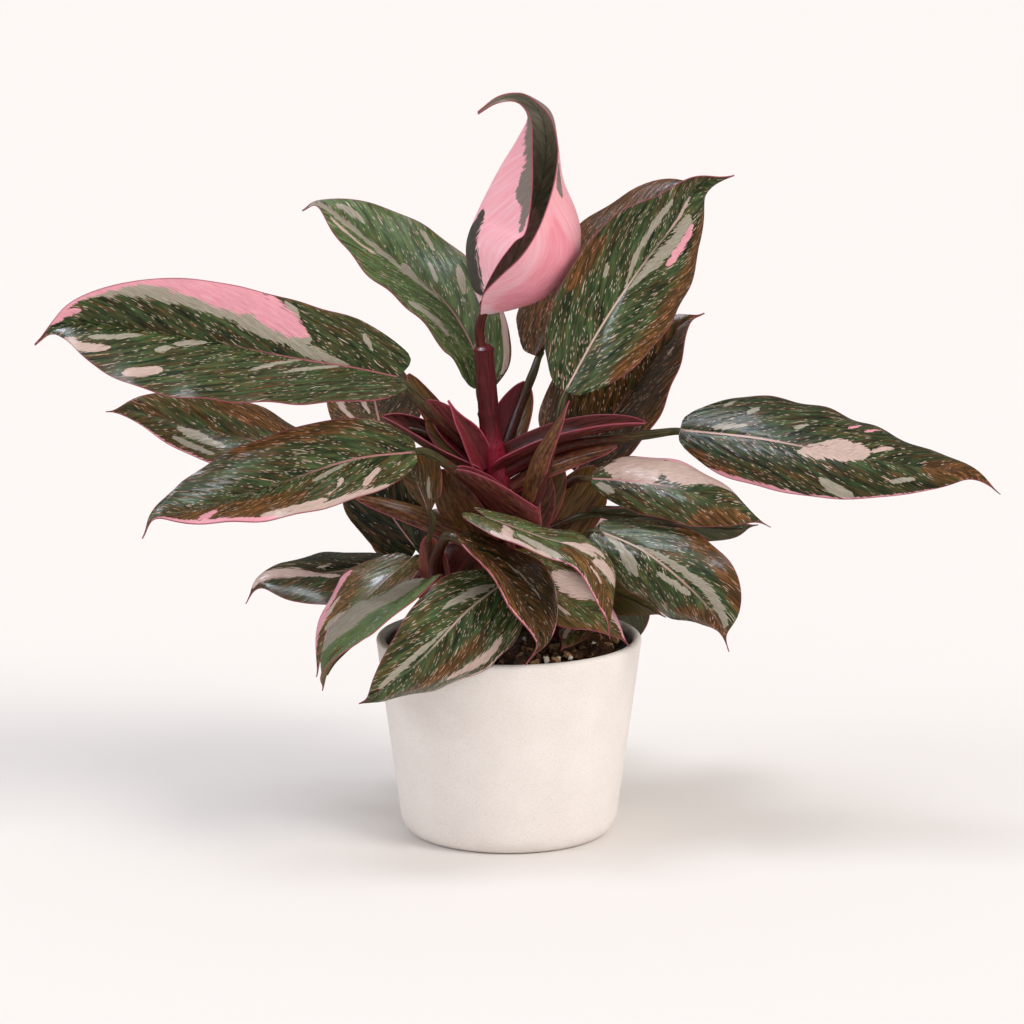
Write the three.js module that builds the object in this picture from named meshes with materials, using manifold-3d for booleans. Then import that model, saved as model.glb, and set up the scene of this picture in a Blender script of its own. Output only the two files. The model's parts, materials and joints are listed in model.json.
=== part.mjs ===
// Pink princess philodendron in a nursery pot that stands inside a straight stoneware cover pot.
// Millimetres, +Z up, the plant's front towards -Y. The origin is the middle of the cover pot's
// flat base, on the surface that it stands on.
import * as THREE from 'three';
import { mergeVertices } from 'three/addons/utils/BufferGeometryUtils.js';
import Module from 'manifold-3d';

const wasm = await Module();
wasm.setup();

// ---- driving dimensions ----------------------------------------------------------------------
const GAP = 0.3;                 // room between pieces that touch

const COVER_RIM_RADIUS = 70;     // 140 mm across the rim
const COVER_HEIGHT = 105;
const COVER_FOOT_RADIUS = 56.6;  // where the straight wall would meet the surface
const COVER_FLAT_RADIUS = 49;    // the flat that it stands on
const COVER_HEEL_RADIUS = 8.6;   // rounding from the flat up into the wall
const COVER_WALL = 4.5;
const COVER_FLOOR = 6;
const COVER_WELL_HEIGHT = 8;     // the inside rounds into the floor over this height
const COVER_WELL_WIDTH = 5;

const LINER_RIM_RADIUS = 61.5;   // 12 cm nursery pot
const LINER_FOOT_RADIUS = 46;
const LINER_TOP = 103;
const LINER_WALL = 1.2;
const LINER_LIP = 2.6;           // how far the rolled lip stands out
const LINER_LIP_HEIGHT = 7;
const LINER_LIP_DRAFT = 0.6;     // the lip's top edge stands in by this much
const DRAIN_COUNT = 4;
const DRAIN_RADIUS = 4;
const DRAIN_RING = 30;
const DRAIN_SIDES = 10;

const SOIL_EDGE = 101.5;         // height of the soil at its edge
const SOIL_CROWN = 106;          // and round the stems
const BARK_CHIPS = 20;
const BARK_LENGTH = 9;
const BARK_WIDTH_SHARE = 0.6;
const BARK_HEIGHT_SHARE = 0.5;
const BARK_RING = 52;            // chips lie within this radius
const BARK_SEED = 7;
const BARK_SINK = 0.5;

const AROUND = 32;               // facets round the pots
const EDGE_STEPS = 3;            // and over a rounded edge
const BLADE_THICKNESS = 0.8;
const SHEATH_THICKNESS = 1.3;
const SHOULDER_POWER = 0.62;     // how early a blade fills out towards its widest place
const TIP_HALF_WIDTH = 1.2;
const TIP_START = 0.85;          // the drip tip draws in from this share of the length
const TIP_DRAW = 0.75;           // and loses this much of its width by the end
const LOBE_REACH = 0.35;         // share of the blade in which the base lobes fade out
const ROUND_REACH = 0.2;         // and in which its corners are rounded off
const ROLLED_ROWS = 14;
const ROLLED_COLUMNS = 8;
const NARROW_ROW = 16;           // rows of a sheet narrower than this have normals that lean together
const SEAT = 2.5;                // how far a petiole runs on under its blade
const SEAT_RUN = 6;              // straight length of petiole before the blade's foot
const SEAT_GAP = 0.6;            // how far below the blade it lies, unless its row says otherwise
const STEM_FOOT = 62;            // how deep the stems go into the soil
const STEM_SIDES = 9;
const STEM_HOLE_SIDES = 14;
const PETIOLE_SIDES = 6;
const PETIOLE_STEPS = 6;

// Stems stand plumb in the soil: centre, radius at the soil.
const STEMS = {
  main: { x: -5, y: 0, radius: 9.5 },
  left: { x: -38, y: -12, radius: 6 },
  right: { x: 27, y: -10, radius: 5.5 },
};

// ---- leaves ----------------------------------------------------------------------------------
// midrib: points from the petiole to the drip tip. width: across both halves. facing: the way the
// upper face looks at the base and at the tip. peak: share of the length where it is widest.
// base: width share at the lobes. tail: share taken by the drip tip. point: below 1 is blunt.
// lobe: how far the base lobes reach back, as a share of the length. round: how far their corners
// are rounded off, in half widths. halves: width share of the left and the right half. rise: slope
// of each half at the midrib. roll: how far each half turns down (negative) or up, in radians.
const LEAF = {
  base: 0.5, peak: 0.42, tail: 0.07, point: 0.75, lobe: 0.05, round: 0.5,
  halves: [1, 1], rise: [0.25, 0.25], roll: [-0.6, -0.6], rows: 8, columns: 2,
};
const LARGE = { rows: 10, columns: 3 };

const LEAVES = {
  leaf_left_high: {
    midrib: [[-58, -12, 245], [-82, -22, 252], [-107, -28, 257], [-158, -38, 269],
      [-209, -44, 278], [-230, -46, 277], [-242, -47, 268]],
    width: 75, facing: [[0.1, -0.67, 0.74], [-0.2, -0.96, 0.2]], peak: 0.53, base: 0.46,
    point: 0.58, lobe: 0, halves: [1.18, 0.82], rise: [0.6, 0.5], roll: [-0.15, -0.35],
    ...LARGE,
  },
  leaf_left_low: {
    midrib: [[-48, -40, 211], [-81, -52, 209], [-122, -62, 197], [-162, -68, 186],
      [-180, -70, 183], [-187, -70, 172]],
    width: 51, facing: [[0.26, -0.95, 0.19], [-0.31, -0.27, 0.91]], peak: 0.56, base: 0.34,
    tail: 0.08, point: 0.5, lobe: 0, rise: [0.45, 0.46], roll: [-0.33, -0.31], ...LARGE,
  },
  leaf_left_back: {
    midrib: [[-83, 43, 176], [-116, 48, 194], [-164, 54, 205], [-196, 58, 213],
      [-215, 60, 213]],
    width: 45, facing: [[0.2, -0.1, 0.96], [-0.31, -0.9, 0]], peak: 0.36, tail: 0.05,
    point: 0.67, halves: [0.85, 1.15], rise: [0.15, 0.19], roll: [-0.78, -0.67],
  },
  leaf_left_rear: {
    midrib: [[-68, 22, 214], [-72, 52, 224], [-76, 90, 238], [-77, 104, 247]],
    width: 52, facing: [[0.06, -0.74, 0.67], [-0.07, -0.6, 0.79]], peak: 0.33, tail: 0.06,
    point: 0.88, rise: [0.15, 0.15], roll: [-0.75, -0.73],
  },
  leaf_top_left: {
    midrib: [[-15, 14, 235], [-18, 24, 252], [-33, 38, 275], [-58, 52, 294], [-84, 64, 313],
      [-101, 70, 323], [-110, 70, 320]],
    width: 56, facing: [[0.38, -0.8, 0.47], [0.13, -0.53, 0.84]], peak: 0.51, base: 0.35,
    tail: 0.06, point: 0.65, lobe: 0.02, halves: [1.06, 0.94], rise: [0.5, 0.46],
    roll: [-0.2, -0.24], ...LARGE,
  },
  leaf_top_right: {
    midrib: [[29, -26, 240], [47, -16, 271], [68, 0, 300], [86, 10, 322], [98, 16, 340],
      [117, 14, 346]],
    width: 63, facing: [[-0.4, -0.84, 0.36], [0.61, -0.75, -0.25]], peak: 0.53, base: 0.34,
    tail: 0.09, point: 1.22, lobe: 0, rise: [0.37, 0.2], roll: [-0.3, -0.78], ...LARGE,
  },
  leaf_top_right_back: {
    midrib: [[14, 22, 250], [27, 30, 273], [53, 40, 303], [79, 46, 326], [100, 46, 340]],
    width: 75, facing: [[-0.81, -0.35, 0.48], [-0.49, -0.42, 0.76]], peak: 0.3, tail: 0.05,
    point: 0.5, lobe: 0, rise: [0.34, 0.48], roll: [-0.44, -0.31], ...LARGE,
  },
  leaf_right_back: {
    midrib: [[35, 34, 186], [51, 44, 208], [72, 56, 236], [91, 66, 258], [104, 70, 265]],
    width: 82, facing: [[-0.48, -0.74, 0.48], [-0.47, -0.51, 0.72]], peak: 0.36, base: 0.4,
    tail: 0.06, point: 0.82, lobe: 0, round: 0.2, rise: [0.42, 0.51], roll: [-0.34, -0.28],
    ...LARGE,
  },
  leaf_right_high: {
    midrib: [[89, -6, 216], [130, -20, 214], [176, -30, 207], [217, -32, 201], [238, -32, 199],
      [254, -31, 187]],
    width: 60, facing: [[-0.16, -0.79, 0.59], [0.22, -0.53, 0.82]], peak: 0.38, base: 0.36,
    tail: 0.08, point: 1.06, lobe: 0, halves: [1.12, 0.88], rise: [0.08, 0.07],
    roll: [-0.69, -0.95], ...LARGE,
  },
  leaf_right_mid: {
    midrib: [[43, -20, 193], [68, -29, 193], [94, -37, 189], [119, -41, 180], [135, -42, 172]],
    width: 39, facing: [[-0.1, -0.89, 0.43], [0.2, -0.49, 0.85]], peak: 0.52, base: 0.34,
    point: 0.81, lobe: 0, halves: [1.08, 0.92], rise: [0.07, 0.02], roll: [-0.83, -0.93],
  },
  leaf_right_under: {
    midrib: [[44, 7, 170], [62, 9, 168], [90, 11, 164], [116, 12, 160], [131, 12, 162]],
    width: 44, facing: [[0, 0.35, 0.94], [0.2, 0.7, 0.68]], peak: 0.55, base: 0.55,
    point: 0.56, rise: [0.29, 0.25],
  },
  leaf_right_low: {
    midrib: [[47, -28, 167], [70, -42, 159], [93, -52, 142], [107, -56, 126], [113, -56, 109]],
    width: 50, facing: [[0.21, -0.63, 0.75], [-0.5, -0.86, -0.12]], peak: 0.6, base: 0.42,
    tail: 0.12, point: 0.5, lobe: 0.04, rise: [0.19, 0], roll: [-0.62, -1.2], ...LARGE,
  },
  leaf_right_drop: {
    midrib: [[35, 20, 133], [50, 20, 127], [67, 17, 120], [83, 12, 112]],
    width: 41, facing: [[0.09, 0.77, 0.63], [0.38, 0.66, 0.64]], point: 0.89,
    rise: [0.3, 0.24],
  },
  leaf_centre_right: {
    midrib: [[-11, -52, 179], [16, -66, 172], [36, -74, 167], [48, -78, 152], [52, -78, 121]],
    width: 36, facing: [[0.19, -0.13, 0.97], [0.84, -0.52, 0.14]], peak: 0.37, tail: 0.1,
    point: 0.57, lobe: 0.13, rise: [0.23, 0.2], ...LARGE,
  },
  leaf_centre_down: {
    midrib: [[-25, -61, 171], [-7, -71, 158], [8, -75, 140], [16, -77, 121], [9, -77, 107]],
    width: 57, facing: [[0.63, -0.26, 0.73], [0.84, -0.55, 0]], peak: 0.53, base: 0.47,
    tail: 0.12, point: 0.92, lobe: 0.03, halves: [1.2, 0.8], rise: [0.26, 0.44],
    roll: [-0.52, -0.39],
  },
  leaf_centre_low: {
    midrib: [[-2, -22, 151], [21, -34, 138], [47, -38, 124], [63, -38, 108]],
    width: 47, facing: [[0.25, -0.65, 0.72], [0.35, -0.41, 0.84]], point: 0.92, tail: 0.06,
    halves: [0.85, 1], lobe: 0.02, rise: [0.24, 0.31], roll: [-0.61, -0.53],
  },
  leaf_front: {
    midrib: [[-3, -58, 146], [-22, -78, 135], [-45, -91, 113], [-66, -95, 96],
      [-76, -95, 91]],
    width: 56, facing: [[-0.15, -0.88, 0.46], [0.57, -0.68, -0.47]], base: 0.55, tail: 0.05,
    point: 0.51, lobe: 0.06, halves: [1.2, 0.8], rise: [0.02, 0.21], roll: [-0.86, -0.7],
    ...LARGE,
  },
  leaf_fold_top: {
    midrib: [[-51, 6, 145], [-67, -7, 134], [-85, -15, 117], [-97, -19, 102],
      [-101, -19, 87]],
    width: 54, facing: [[-0.58, -0.53, 0.62], [-0.91, -0.22, 0.35]], peak: 0.38, tail: 0.06,
    point: 0.85, lobe: 0, halves: [0.93, 1.07], rise: [0.35, 0.29], roll: [-0.47, -0.38],
  },
  leaf_fold_low: {
    midrib: [[-40, -35, 142], [-59, -55, 132], [-79, -65, 117], [-92, -69, 104],
      [-96, -69, 92]],
    width: 72, facing: [[-0.69, -0.49, 0.53], [-0.84, -0.02, 0.54]], peak: 0.6, base: 0.43,
    tail: 0.06, point: 0.5, lobe: 0, rise: [0.41, 0.3], roll: [-0.37, -0.36],
  },
  leaf_left_tip: {
    midrib: [[-64, 42, 134], [-89, 34, 132], [-115, 28, 130], [-132, 26, 128],
      [-140, 26, 116]],
    width: 55, facing: [[-0.1, -0.34, 0.93], [-0.25, -0.46, 0.85]], peak: 0.37, point: 1.18,
    lobe: 0.04, rise: [0.2, 0.16], roll: [-0.66, -0.71],
  },
  leaf_left_dark: {
    midrib: [[-49, 16, 148], [-62, 20, 165], [-76, 24, 188], [-83, 26, 204]],
    width: 50, facing: [[-0.67, -0.74, -0.09], [-0.06, -0.9, 0.43]], peak: 0.35, point: 0.86,
    rise: [0.18, 0.25], roll: [-0.69, -0.6],
  },
  leaf_small: {
    midrib: [[-42, -22, 176], [-45, -20, 184], [-51, -16, 196], [-59, -12, 205]],
    width: 35, facing: [[-0.92, -0.38, -0.13], [-0.35, -0.93, 0.09]], point: 0.71,
    lobe: 0.03, halves: [0.89, 1.11], rise: [0.07, 0.21], roll: [-0.86, -0.63],
  },
  leaf_shade_right: {
    midrib: [[43, 56, 111], [56, 72, 110], [69, 86, 98], [76, 94, 80], [77, 98, 63]],
    width: 46, facing: [[0, 0.35, 0.94], [0.52, 0.83, 0.21]], tail: 0.08,
  },
  leaf_shade_left: {
    midrib: [[-41, 54, 131], [-57, 76, 128], [-70, 92, 116], [-77, 100, 100], [-79, 104, 84]],
    width: 50, facing: [[0, 0.35, 0.94], [-0.52, 0.83, 0.21]], tail: 0.08,
  },
  leaf_soil: {
    midrib: [[39, -24, 118], [33, -34, 114], [30, -42, 111], [27, -47, 108]],
    width: 15, facing: [[0.1, -0.6, 0.8], [0.1, -0.8, 0.6]], peak: 0.35, tail: 0.1, rows: 6,
  },
  leaf_back_mid: {
    midrib: [[6, 54, 148], [8, 92, 160], [10, 132, 154], [12, 166, 134], [12, 184, 110]],
    width: 50, facing: [[0, -0.2, 0.98], [0, 0.8, 0.6]],
  },
  leaf_back_left: {
    midrib: [[-22, 50, 140], [-40, 80, 150], [-56, 112, 144], [-66, 138, 126],
      [-70, 152, 104]],
    width: 46, facing: [[0, -0.2, 0.98], [-0.4, 0.7, 0.6]],
  },
  leaf_back_right: {
    midrib: [[30, 48, 138], [54, 76, 148], [78, 104, 140], [94, 128, 120], [98, 140, 98]],
    width: 50, facing: [[0, -0.2, 0.98], [0.4, 0.7, 0.6]],
  },
};

// The newest leaf is still half unrolled. Five rails run from its base to its tip across the
// sheet: the left margin, the left side, the back, the right side and the right margin.
const ROLLED_LEAF = [
  [[-13, -2, 284], [-12, -9, 291], [-5, -15, 305], [3, -17, 316], [9, -17, 322], [12, -14, 343],
    [12, -10, 363], [11, -6, 379], [4, -3.2, 386.6], [-6, -2, 385.8], [-16, -1, 380]],
  [[-15, 2, 282], [-20, 5, 293], [-22, 8, 311], [-16, 10, 328], [-5, 9, 350], [5, 6, 367],
    [10, 2, 379], [3, -0.8, 387.6], [-6, -1.3, 386.7], [-16, -0.7, 380.4]],
  [[-15, 4, 278], [-8, 20, 282], [3, 30, 302], [10, 30, 324], [15, 24, 347], [17, 14, 369],
    [14, 6, 382], [5, 0.8, 389.2], [-6, -0.9, 387.6], [-16, -0.5, 380.8]],
  [[-14, 2, 275], [3, 4, 278], [20, 4, 285], [34, 4, 302], [37, 6, 316], [35, 6, 329],
    [30, 5, 346], [26, 3, 363], [22, 1, 380], [13, 0, 388], [4, -0.8, 390.5], [-6, -1.3, 388.5],
    [-16, -0.7, 381.2]],
  [[-15, -4, 277], [-13, -16, 289], [-4, -24, 300], [6, -27, 310], [14, -25, 322],
    [20, -19, 336], [24, -11, 350], [25, -5, 364], [21, -3, 379], [11, -3, 389], [4, -2.8, 391.4],
    [-6, -2, 389.3], [-16, -1, 381.6]],
];
// Its petiole: from inside the stem to just under the foot of the roll.
const ROLLED_PETIOLE = {
  through: [[-12, 2, 248], [-15, 1, 262], [-15, 1, 274]], radii: [2.8, 2.6], steps: 4,
};

// ---- petioles --------------------------------------------------------------------------------
// Each one starts inside its stem, passes the points given and ends under its blade.
// radii: at the stem and at the blade.
const PETIOLES = {
  main: [
    { leaf: 'leaf_left_high', through: [[-9, 2, 195], [-27, 0, 211], [-44, -6, 228]], radii: [3.4, 2.8] },
    { leaf: 'leaf_left_rear', through: [[-10, 4, 193], [-31, 8, 205], [-52, 14, 213]], radii: [3.2, 2.4] },
    { leaf: 'leaf_left_back', through: [[-5, 6, 152], [-28, 20, 158], [-58, 38, 164]], radii: [3.4, 2.4] },
    { leaf: 'leaf_left_low', through: [[2, -6, 168], [-11, -16, 182], [-29, -28, 200]], radii: [4, 2.6],
      seatGap: 0.3 },
    { leaf: 'leaf_top_left', through: [[-7, 6, 193], [-10, 13, 207], [-13, 14, 225]], radii: [2.8, 2.2] },
    { leaf: 'leaf_top_right', through: [[3, -6, 163], [14, -18, 181], [20, -24, 201], [25, -28, 223]],
      radii: [3.2, 2.2] },
    { leaf: 'leaf_top_right_back', through: [[-5, 6, 192], [0, 14, 207], [7, 20, 227]], radii: [3.2, 2.4] },
    { leaf: 'leaf_right_high', through: [[-5, 0, 191], [14, -1, 202], [34, -2, 208], [63, -5, 212]],
      radii: [3.4, 2.6] },
    { leaf: 'leaf_right_back', through: [[3, 4, 142], [19, 14, 156], [28, 28, 170]], radii: [3, 2.4] },
    { leaf: 'leaf_right_mid', through: [[3, -4, 146], [22, -9, 166], [34, -15, 184]], radii: [2.8, 2] },
    { leaf: 'leaf_right_under', through: [[2, 5, 149], [20, 6, 160]], radii: [2.8, 2] },
    { leaf: 'leaf_centre_right', through: [[-2, -6, 152], [-11, -26, 163], [-16, -44, 174]],
      radii: [3, 2.2] },
    { leaf: 'leaf_front', through: [[-4, -4, 151], [0, -23, 162], [1, -42, 154]], radii: [3, 2.4] },
    { leaf: 'leaf_centre_low', through: [[-5, -6, 131], [-8, -14, 145]], radii: [2.6, 2] },
    { leaf: 'leaf_back_mid', through: [[-4, 6, 118], [1, 28, 138]], radii: [3, 2.2] },
    { leaf: 'leaf_back_left', through: [[-8, 6, 116], [-16, 26, 130]], radii: [2.8, 2.2] },
    { leaf: 'leaf_back_right', through: [[0, 6, 122], [14, 26, 134]], radii: [2.8, 2.2] },
  ],
  left: [
    { leaf: 'leaf_small', through: [[-38, -14, 127], [-40, -20, 147], [-42, -23, 163]], radii: [2.6, 1.6] },
    { leaf: 'leaf_centre_down', through: [[-36, -16, 133], [-38, -32, 152], [-33, -48, 167]],
      radii: [2.8, 2] },
    { leaf: 'leaf_fold_top', through: [[-38, -12, 127], [-43, -1, 139]], radii: [2.6, 2] },
    { leaf: 'leaf_fold_low', through: [[-38, -16, 125], [-33, -25, 138]], radii: [2.6, 2] },
    { leaf: 'leaf_left_tip', through: [[-38, -8, 121], [-49, 14, 133]], radii: [2.6, 2] },
    { leaf: 'leaf_left_dark', through: [[-38, -10, 130], [-42, 4, 141]], radii: [2.6, 2] },
    { leaf: 'leaf_shade_left', through: [[-38, -6, 120], [-40, 24, 128]], radii: [2.6, 2] },
  ],
  right: [
    { leaf: 'leaf_right_low', through: [[27, -10, 126], [34, -11, 148], [40, -20, 163]], radii: [3, 2.2] },
    { leaf: 'leaf_right_drop', through: [[27, -8, 120], [29, 7, 130]], radii: [2.4, 1.8], seatGap: 0.8 },
    { leaf: 'leaf_soil', through: [[27, -12, 111], [38, -16, 117]], radii: [2, 1.2] },
    { leaf: 'leaf_shade_right', through: [[27, -8, 114], [29, 20, 108.5]], radii: [2.6, 2] },
  ],
};

// The stem above the soil: points and the radius at each.
const STEM_LINES = {
  main: {
    through: [[-5, 0, STEM_FOOT], [-5, 0, 92], [-5, 0, 120], [-5, 0, 155], [-6, 0, 192], [-9, 0, 209],
      [-11, 1, 230], [-13, 2, 257]],
    radii: [9.5, 9.5, 9.5, 9, 6.6, 5.8, 5.4, 5],
  },
  left: {
    through: [[-38, -12, STEM_FOOT], [-38, -12, 92], [-38, -12, 112], [-38, -14, 134]],
    radii: [6, 6, 5.6, 4],
  },
  right: {
    through: [[27, -10, STEM_FOOT], [27, -10, 92], [27, -10, 108], [27, -10, 128]],
    radii: [5.5, 5.5, 5, 3.6],
  },
};

// Sheaths are short troughs that grow with their petiole and stand open along its upper side.
const SHEATH = {
  base: 0.85, peak: 0.4, tail: 0, point: 0.5, lobe: 0, round: 0.5, halves: [1, 1], rise: [0.1, 0.1],
  roll: [1.3, 1.3], rows: 5, columns: 2,
};
const SHEATHS = {
  main: [
    { midrib: [[-11, 2, 192], [-31, 6, 204], [-51, 10, 214], [-64, 13, 219]], width: 24,
      facing: [[0.3, -0.5, 0.8], [0.3, -0.6, 0.75]] },
    { midrib: [[-12, 3, 198], [-24, 4, 212], [-34, 3, 224], [-40, 2, 232]], width: 24,
      facing: [[0.5, -0.8, 0.3], [0.5, -0.8, 0.3]], roll: [0.5, 0.5] },
    { midrib: [[-12, -2, 192], [-22, -7, 209], [-32, -9, 232]], width: 14,
      facing: [[0.3, -0.9, 0.2], [0.3, -0.9, 0.2]], peak: 0.25, tail: 0.1, point: 1.2 },
    { midrib: [[-5, 11, 196], [0, 16, 212], [6, 21, 227], [9, 23, 236]], width: 24,
      facing: [[-0.1, -0.95, 0.3], [-0.1, -0.95, 0.3]], roll: [0.8, 0.8] },
    { midrib: [[-6, 0, 194], [12, -1, 206], [33, -3, 214], [53, -5, 217], [70, -6, 218]], width: 24,
      facing: [[-0.2, -0.4, 0.9], [-0.1, -0.5, 0.85]] },
    { midrib: [[8, -10, 165], [14, -20, 184], [20, -26, 205], [26, -30, 225], [30, -31, 237]],
      width: 22, facing: [[-0.4, -0.8, 0.3], [-0.6, -0.75, 0.2]], peak: 0.3, tail: 0.05,
      point: 1.1 },
    { midrib: [[8, -6, 166], [-3, -13, 179], [-15, -21, 190], [-28, -29, 200]], width: 30,
      facing: [[0.3, -0.6, 0.75], [0.4, -0.7, 0.6]], roll: [1.6, 1.6] },
    { midrib: [[24, 12, 157], [27, 17, 166], [30, 24, 174], [33, 28, 182]], width: 24,
      facing: [[-0.2, -0.95, 0.2], [-0.2, -0.95, 0.2]], roll: [-0.9, -0.9] },
    { midrib: [[-8, -2, 157], [-20, -9, 175], [-28, -13, 193]], width: 16,
      facing: [[-0.6, -0.7, 0.3], [-0.6, -0.7, 0.3]], roll: [0.9, 0.9] },
  ],
  left: [
    { midrib: [[-38, -17, 128], [-40, -20, 147], [-42, -23, 163]], width: 18,
      facing: [[-0.3, -0.9, 0.2], [-0.3, -0.9, 0.2]] },
  ],
  right: [],
};

// ---- shape helpers ---------------------------------------------------------------------------
const vector = (p) => new THREE.Vector3(p[0], p[1], p[2]);

/** A curve with even steps through hand-placed points. */
const curveThrough = (points) => new THREE.CatmullRomCurve3(points.map(vector), false, 'catmullrom', 0.5);

/** Width share at share s of a blade's length: round lobes, a widest place and a drip tip. */
function outline(leaf, s) {
  if (s < leaf.peak) {
    return leaf.base + (1 - leaf.base) * Math.sin((Math.PI / 2) * (s / leaf.peak) ** SHOULDER_POWER);
  }
  const fall = Math.min(1, (s - leaf.peak) / (1 - leaf.tail - leaf.peak));
  return Math.max(0, Math.cos((Math.PI / 2) * fall)) ** leaf.point;
}

/** Place across a half blade: it leaves the midrib at slope rise and turns by roll over width. */
function crossArc(width, rise, roll, t) {
  return {
    out: (width * (Math.sin(rise + roll * t) - Math.sin(rise))) / roll,
    up: (width * (Math.cos(rise) - Math.cos(rise + roll * t))) / roll,
  };
}

/** Frame of a blade at share s of its midrib: place, direction, upper normal and right side. */
function bladeFrame(leaf, curve, s) {
  const place = curve.getPointAt(s);
  const along = curve.getTangentAt(s);
  const facing = vector(leaf.facing[0]).normalize().lerp(vector(leaf.facing[1]).normalize(), s);
  const up = facing.addScaledVector(along, -facing.dot(along)).normalize();
  return { place, along, up, side: along.clone().cross(up).normalize() };
}

/** Middle surface of a blade as rows of points, from left margin to right margin. */
function bladeRows(leaf) {
  const curve = curveThrough(leaf.midrib);
  const lobeLength = leaf.lobe * curve.getLength();
  const rows = [];
  for (let i = 0; i <= leaf.rows; i += 1) {
    const s = i / leaf.rows;
    const frame = bladeFrame(leaf, curve, s);
    const tipShare = 1 - TIP_DRAW * Math.max(0, (s - TIP_START) / (1 - TIP_START));
    const half = Math.max((leaf.width / 2) * outline(leaf, s), TIP_HALF_WIDTH * tipShare);
    const fade = Math.max(0, 1 - s / LOBE_REACH) ** 1.5;
    const round = leaf.round * half * Math.max(0, 1 - s / ROUND_REACH) ** 2;
    const row = [];
    for (let j = -leaf.columns; j <= leaf.columns; j += 1) {
      const t = Math.abs(j) / leaf.columns;
      const k = j < 0 ? 0 : 1;
      const { out, up } = crossArc(half * leaf.halves[k], leaf.rise[k], leaf.roll[k], t);
      row.push(frame.place.clone()
        .addScaledVector(frame.side, Math.sign(j) * out)
        .addScaledVector(frame.up, up)
        .addScaledVector(frame.along, round * t ** 4 - lobeLength * (1 - (1 - t) ** 2) * fade));
    }
    rows.push(row);
  }
  return rows;
}

/** Rows of points across the sheet that a set of rails carries. */
function railRows(rails, rowCount, columnCount) {
  const curves = rails.map(curveThrough);
  const rows = [];
  for (let i = 0; i <= rowCount; i += 1) {
    const across = new THREE.CatmullRomCurve3(curves.map((c) => c.getPointAt(i / rowCount)));
    const row = [];
    for (let j = 0; j <= columnCount; j += 1) row.push(across.getPoint(j / columnCount));
    rows.push(row);
  }
  return rows;
}

/** Upper triangles of a grid of points, split along mirrored diagonals in the two halves. */
function gridFaces(high, wide) {
  const index = (i, j) => i * (wide + 1) + j;
  const faces = [];
  for (let i = 0; i < high; i += 1) {
    for (let j = 0; j < wide; j += 1) {
      const [p, q, r, s] = [index(i, j), index(i, j + 1), index(i + 1, j + 1), index(i + 1, j)];
      faces.push(...(j < wide / 2 ? [p, q, r, p, r, s] : [p, q, s, q, r, s]));
    }
  }
  return faces;
}

/** Normals of a sheet's middle surface. Across a narrow row they lean together, or they would cross. */
function sheetNormals(rows, faces) {
  const { normal } = surfaceOf(rows.flat(), faces).attributes;
  return rows.flatMap((row, i) => {
    const normals = row.map((_, j) => new THREE.Vector3().fromBufferAttribute(normal, i * row.length + j));
    const mean = normals.reduce((sum, n) => sum.add(n), new THREE.Vector3()).normalize();
    const width = row.slice(1).reduce((sum, p, j) => sum + p.distanceTo(row[j]), 0);
    const lean = Math.max(0, 1 - width / NARROW_ROW);
    return normals.map((n) => n.lerp(mean, lean).normalize());
  });
}

/** Closed sheet of the given thickness about rows of points, its upper face first. */
function sheet(rows, thickness) {
  const high = rows.length - 1;
  const wide = rows[0].length - 1;
  const top = gridFaces(high, wide);
  const normals = sheetNormals(rows, top);
  const places = [1, -1].flatMap((way) => rows.flat()
    .map((p, n) => p.clone().addScaledVector(normals[n], (way * thickness) / 2)));
  const under = places.length / 2;
  const faces = [...top];
  for (let n = 0; n < top.length; n += 3) {
    faces.push(top[n] + under, top[n + 2] + under, top[n + 1] + under);
  }
  const ring = [];
  for (let j = 0; j < wide; j += 1) ring.push(j);
  for (let i = 0; i < high; i += 1) ring.push(i * (wide + 1) + wide);
  for (let j = wide; j > 0; j -= 1) ring.push(high * (wide + 1) + j);
  for (let i = high; i > 0; i -= 1) ring.push(i * (wide + 1));
  ring.forEach((a, n) => {
    const b = ring[(n + 1) % ring.length];
    faces.push(a + under, b + under, b, a + under, b, a);
  });
  return surfaceOf(places, faces);
}

/** Closed round tube along points, with its radius read from a list as long or of two. */
function taperedTube(points, radii, steps, sides) {
  const curve = curveThrough(points);
  const frames = curve.computeFrenetFrames(steps, false);
  const places = [];
  const faces = [];
  for (let i = 0; i <= steps; i += 1) {
    const reach = (i / steps) * (radii.length - 1);
    const k = Math.min(radii.length - 2, Math.floor(reach));
    const radius = THREE.MathUtils.lerp(radii[k], radii[k + 1], reach - k);
    const centre = radii.length > 2 ? curve.getPoint(i / steps) : curve.getPointAt(i / steps);
    for (let j = 0; j < sides; j += 1) {
      const turn = (j / sides) * 2 * Math.PI;
      places.push(centre.clone()
        .addScaledVector(frames.normals[i], radius * Math.cos(turn))
        .addScaledVector(frames.binormals[i], radius * Math.sin(turn)));
    }
  }
  for (let i = 0; i < steps; i += 1) {
    for (let j = 0; j < sides; j += 1) {
      const k = (j + 1) % sides;
      const [p, q, r, s] = [i * sides + j, i * sides + k, (i + 1) * sides + k, (i + 1) * sides + j];
      faces.push(p, q, r, p, r, s);
    }
  }
  for (let j = 1; j < sides - 1; j += 1) {
    faces.push(0, j + 1, j);
    faces.push(steps * sides, steps * sides + j, steps * sides + j + 1);
  }
  return surfaceOf(places, faces);
}

/** Geometry of places and the triangles between them, with smooth normals. */
function surfaceOf(places, faces) {
  const geometry = new THREE.BufferGeometry();
  const flat = places.flatMap((p) => p.toArray());
  geometry.setAttribute('position', new THREE.Float32BufferAttribute(flat, 3));
  geometry.setIndex(faces);
  geometry.computeVertexNormals();
  return geometry;
}

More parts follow.
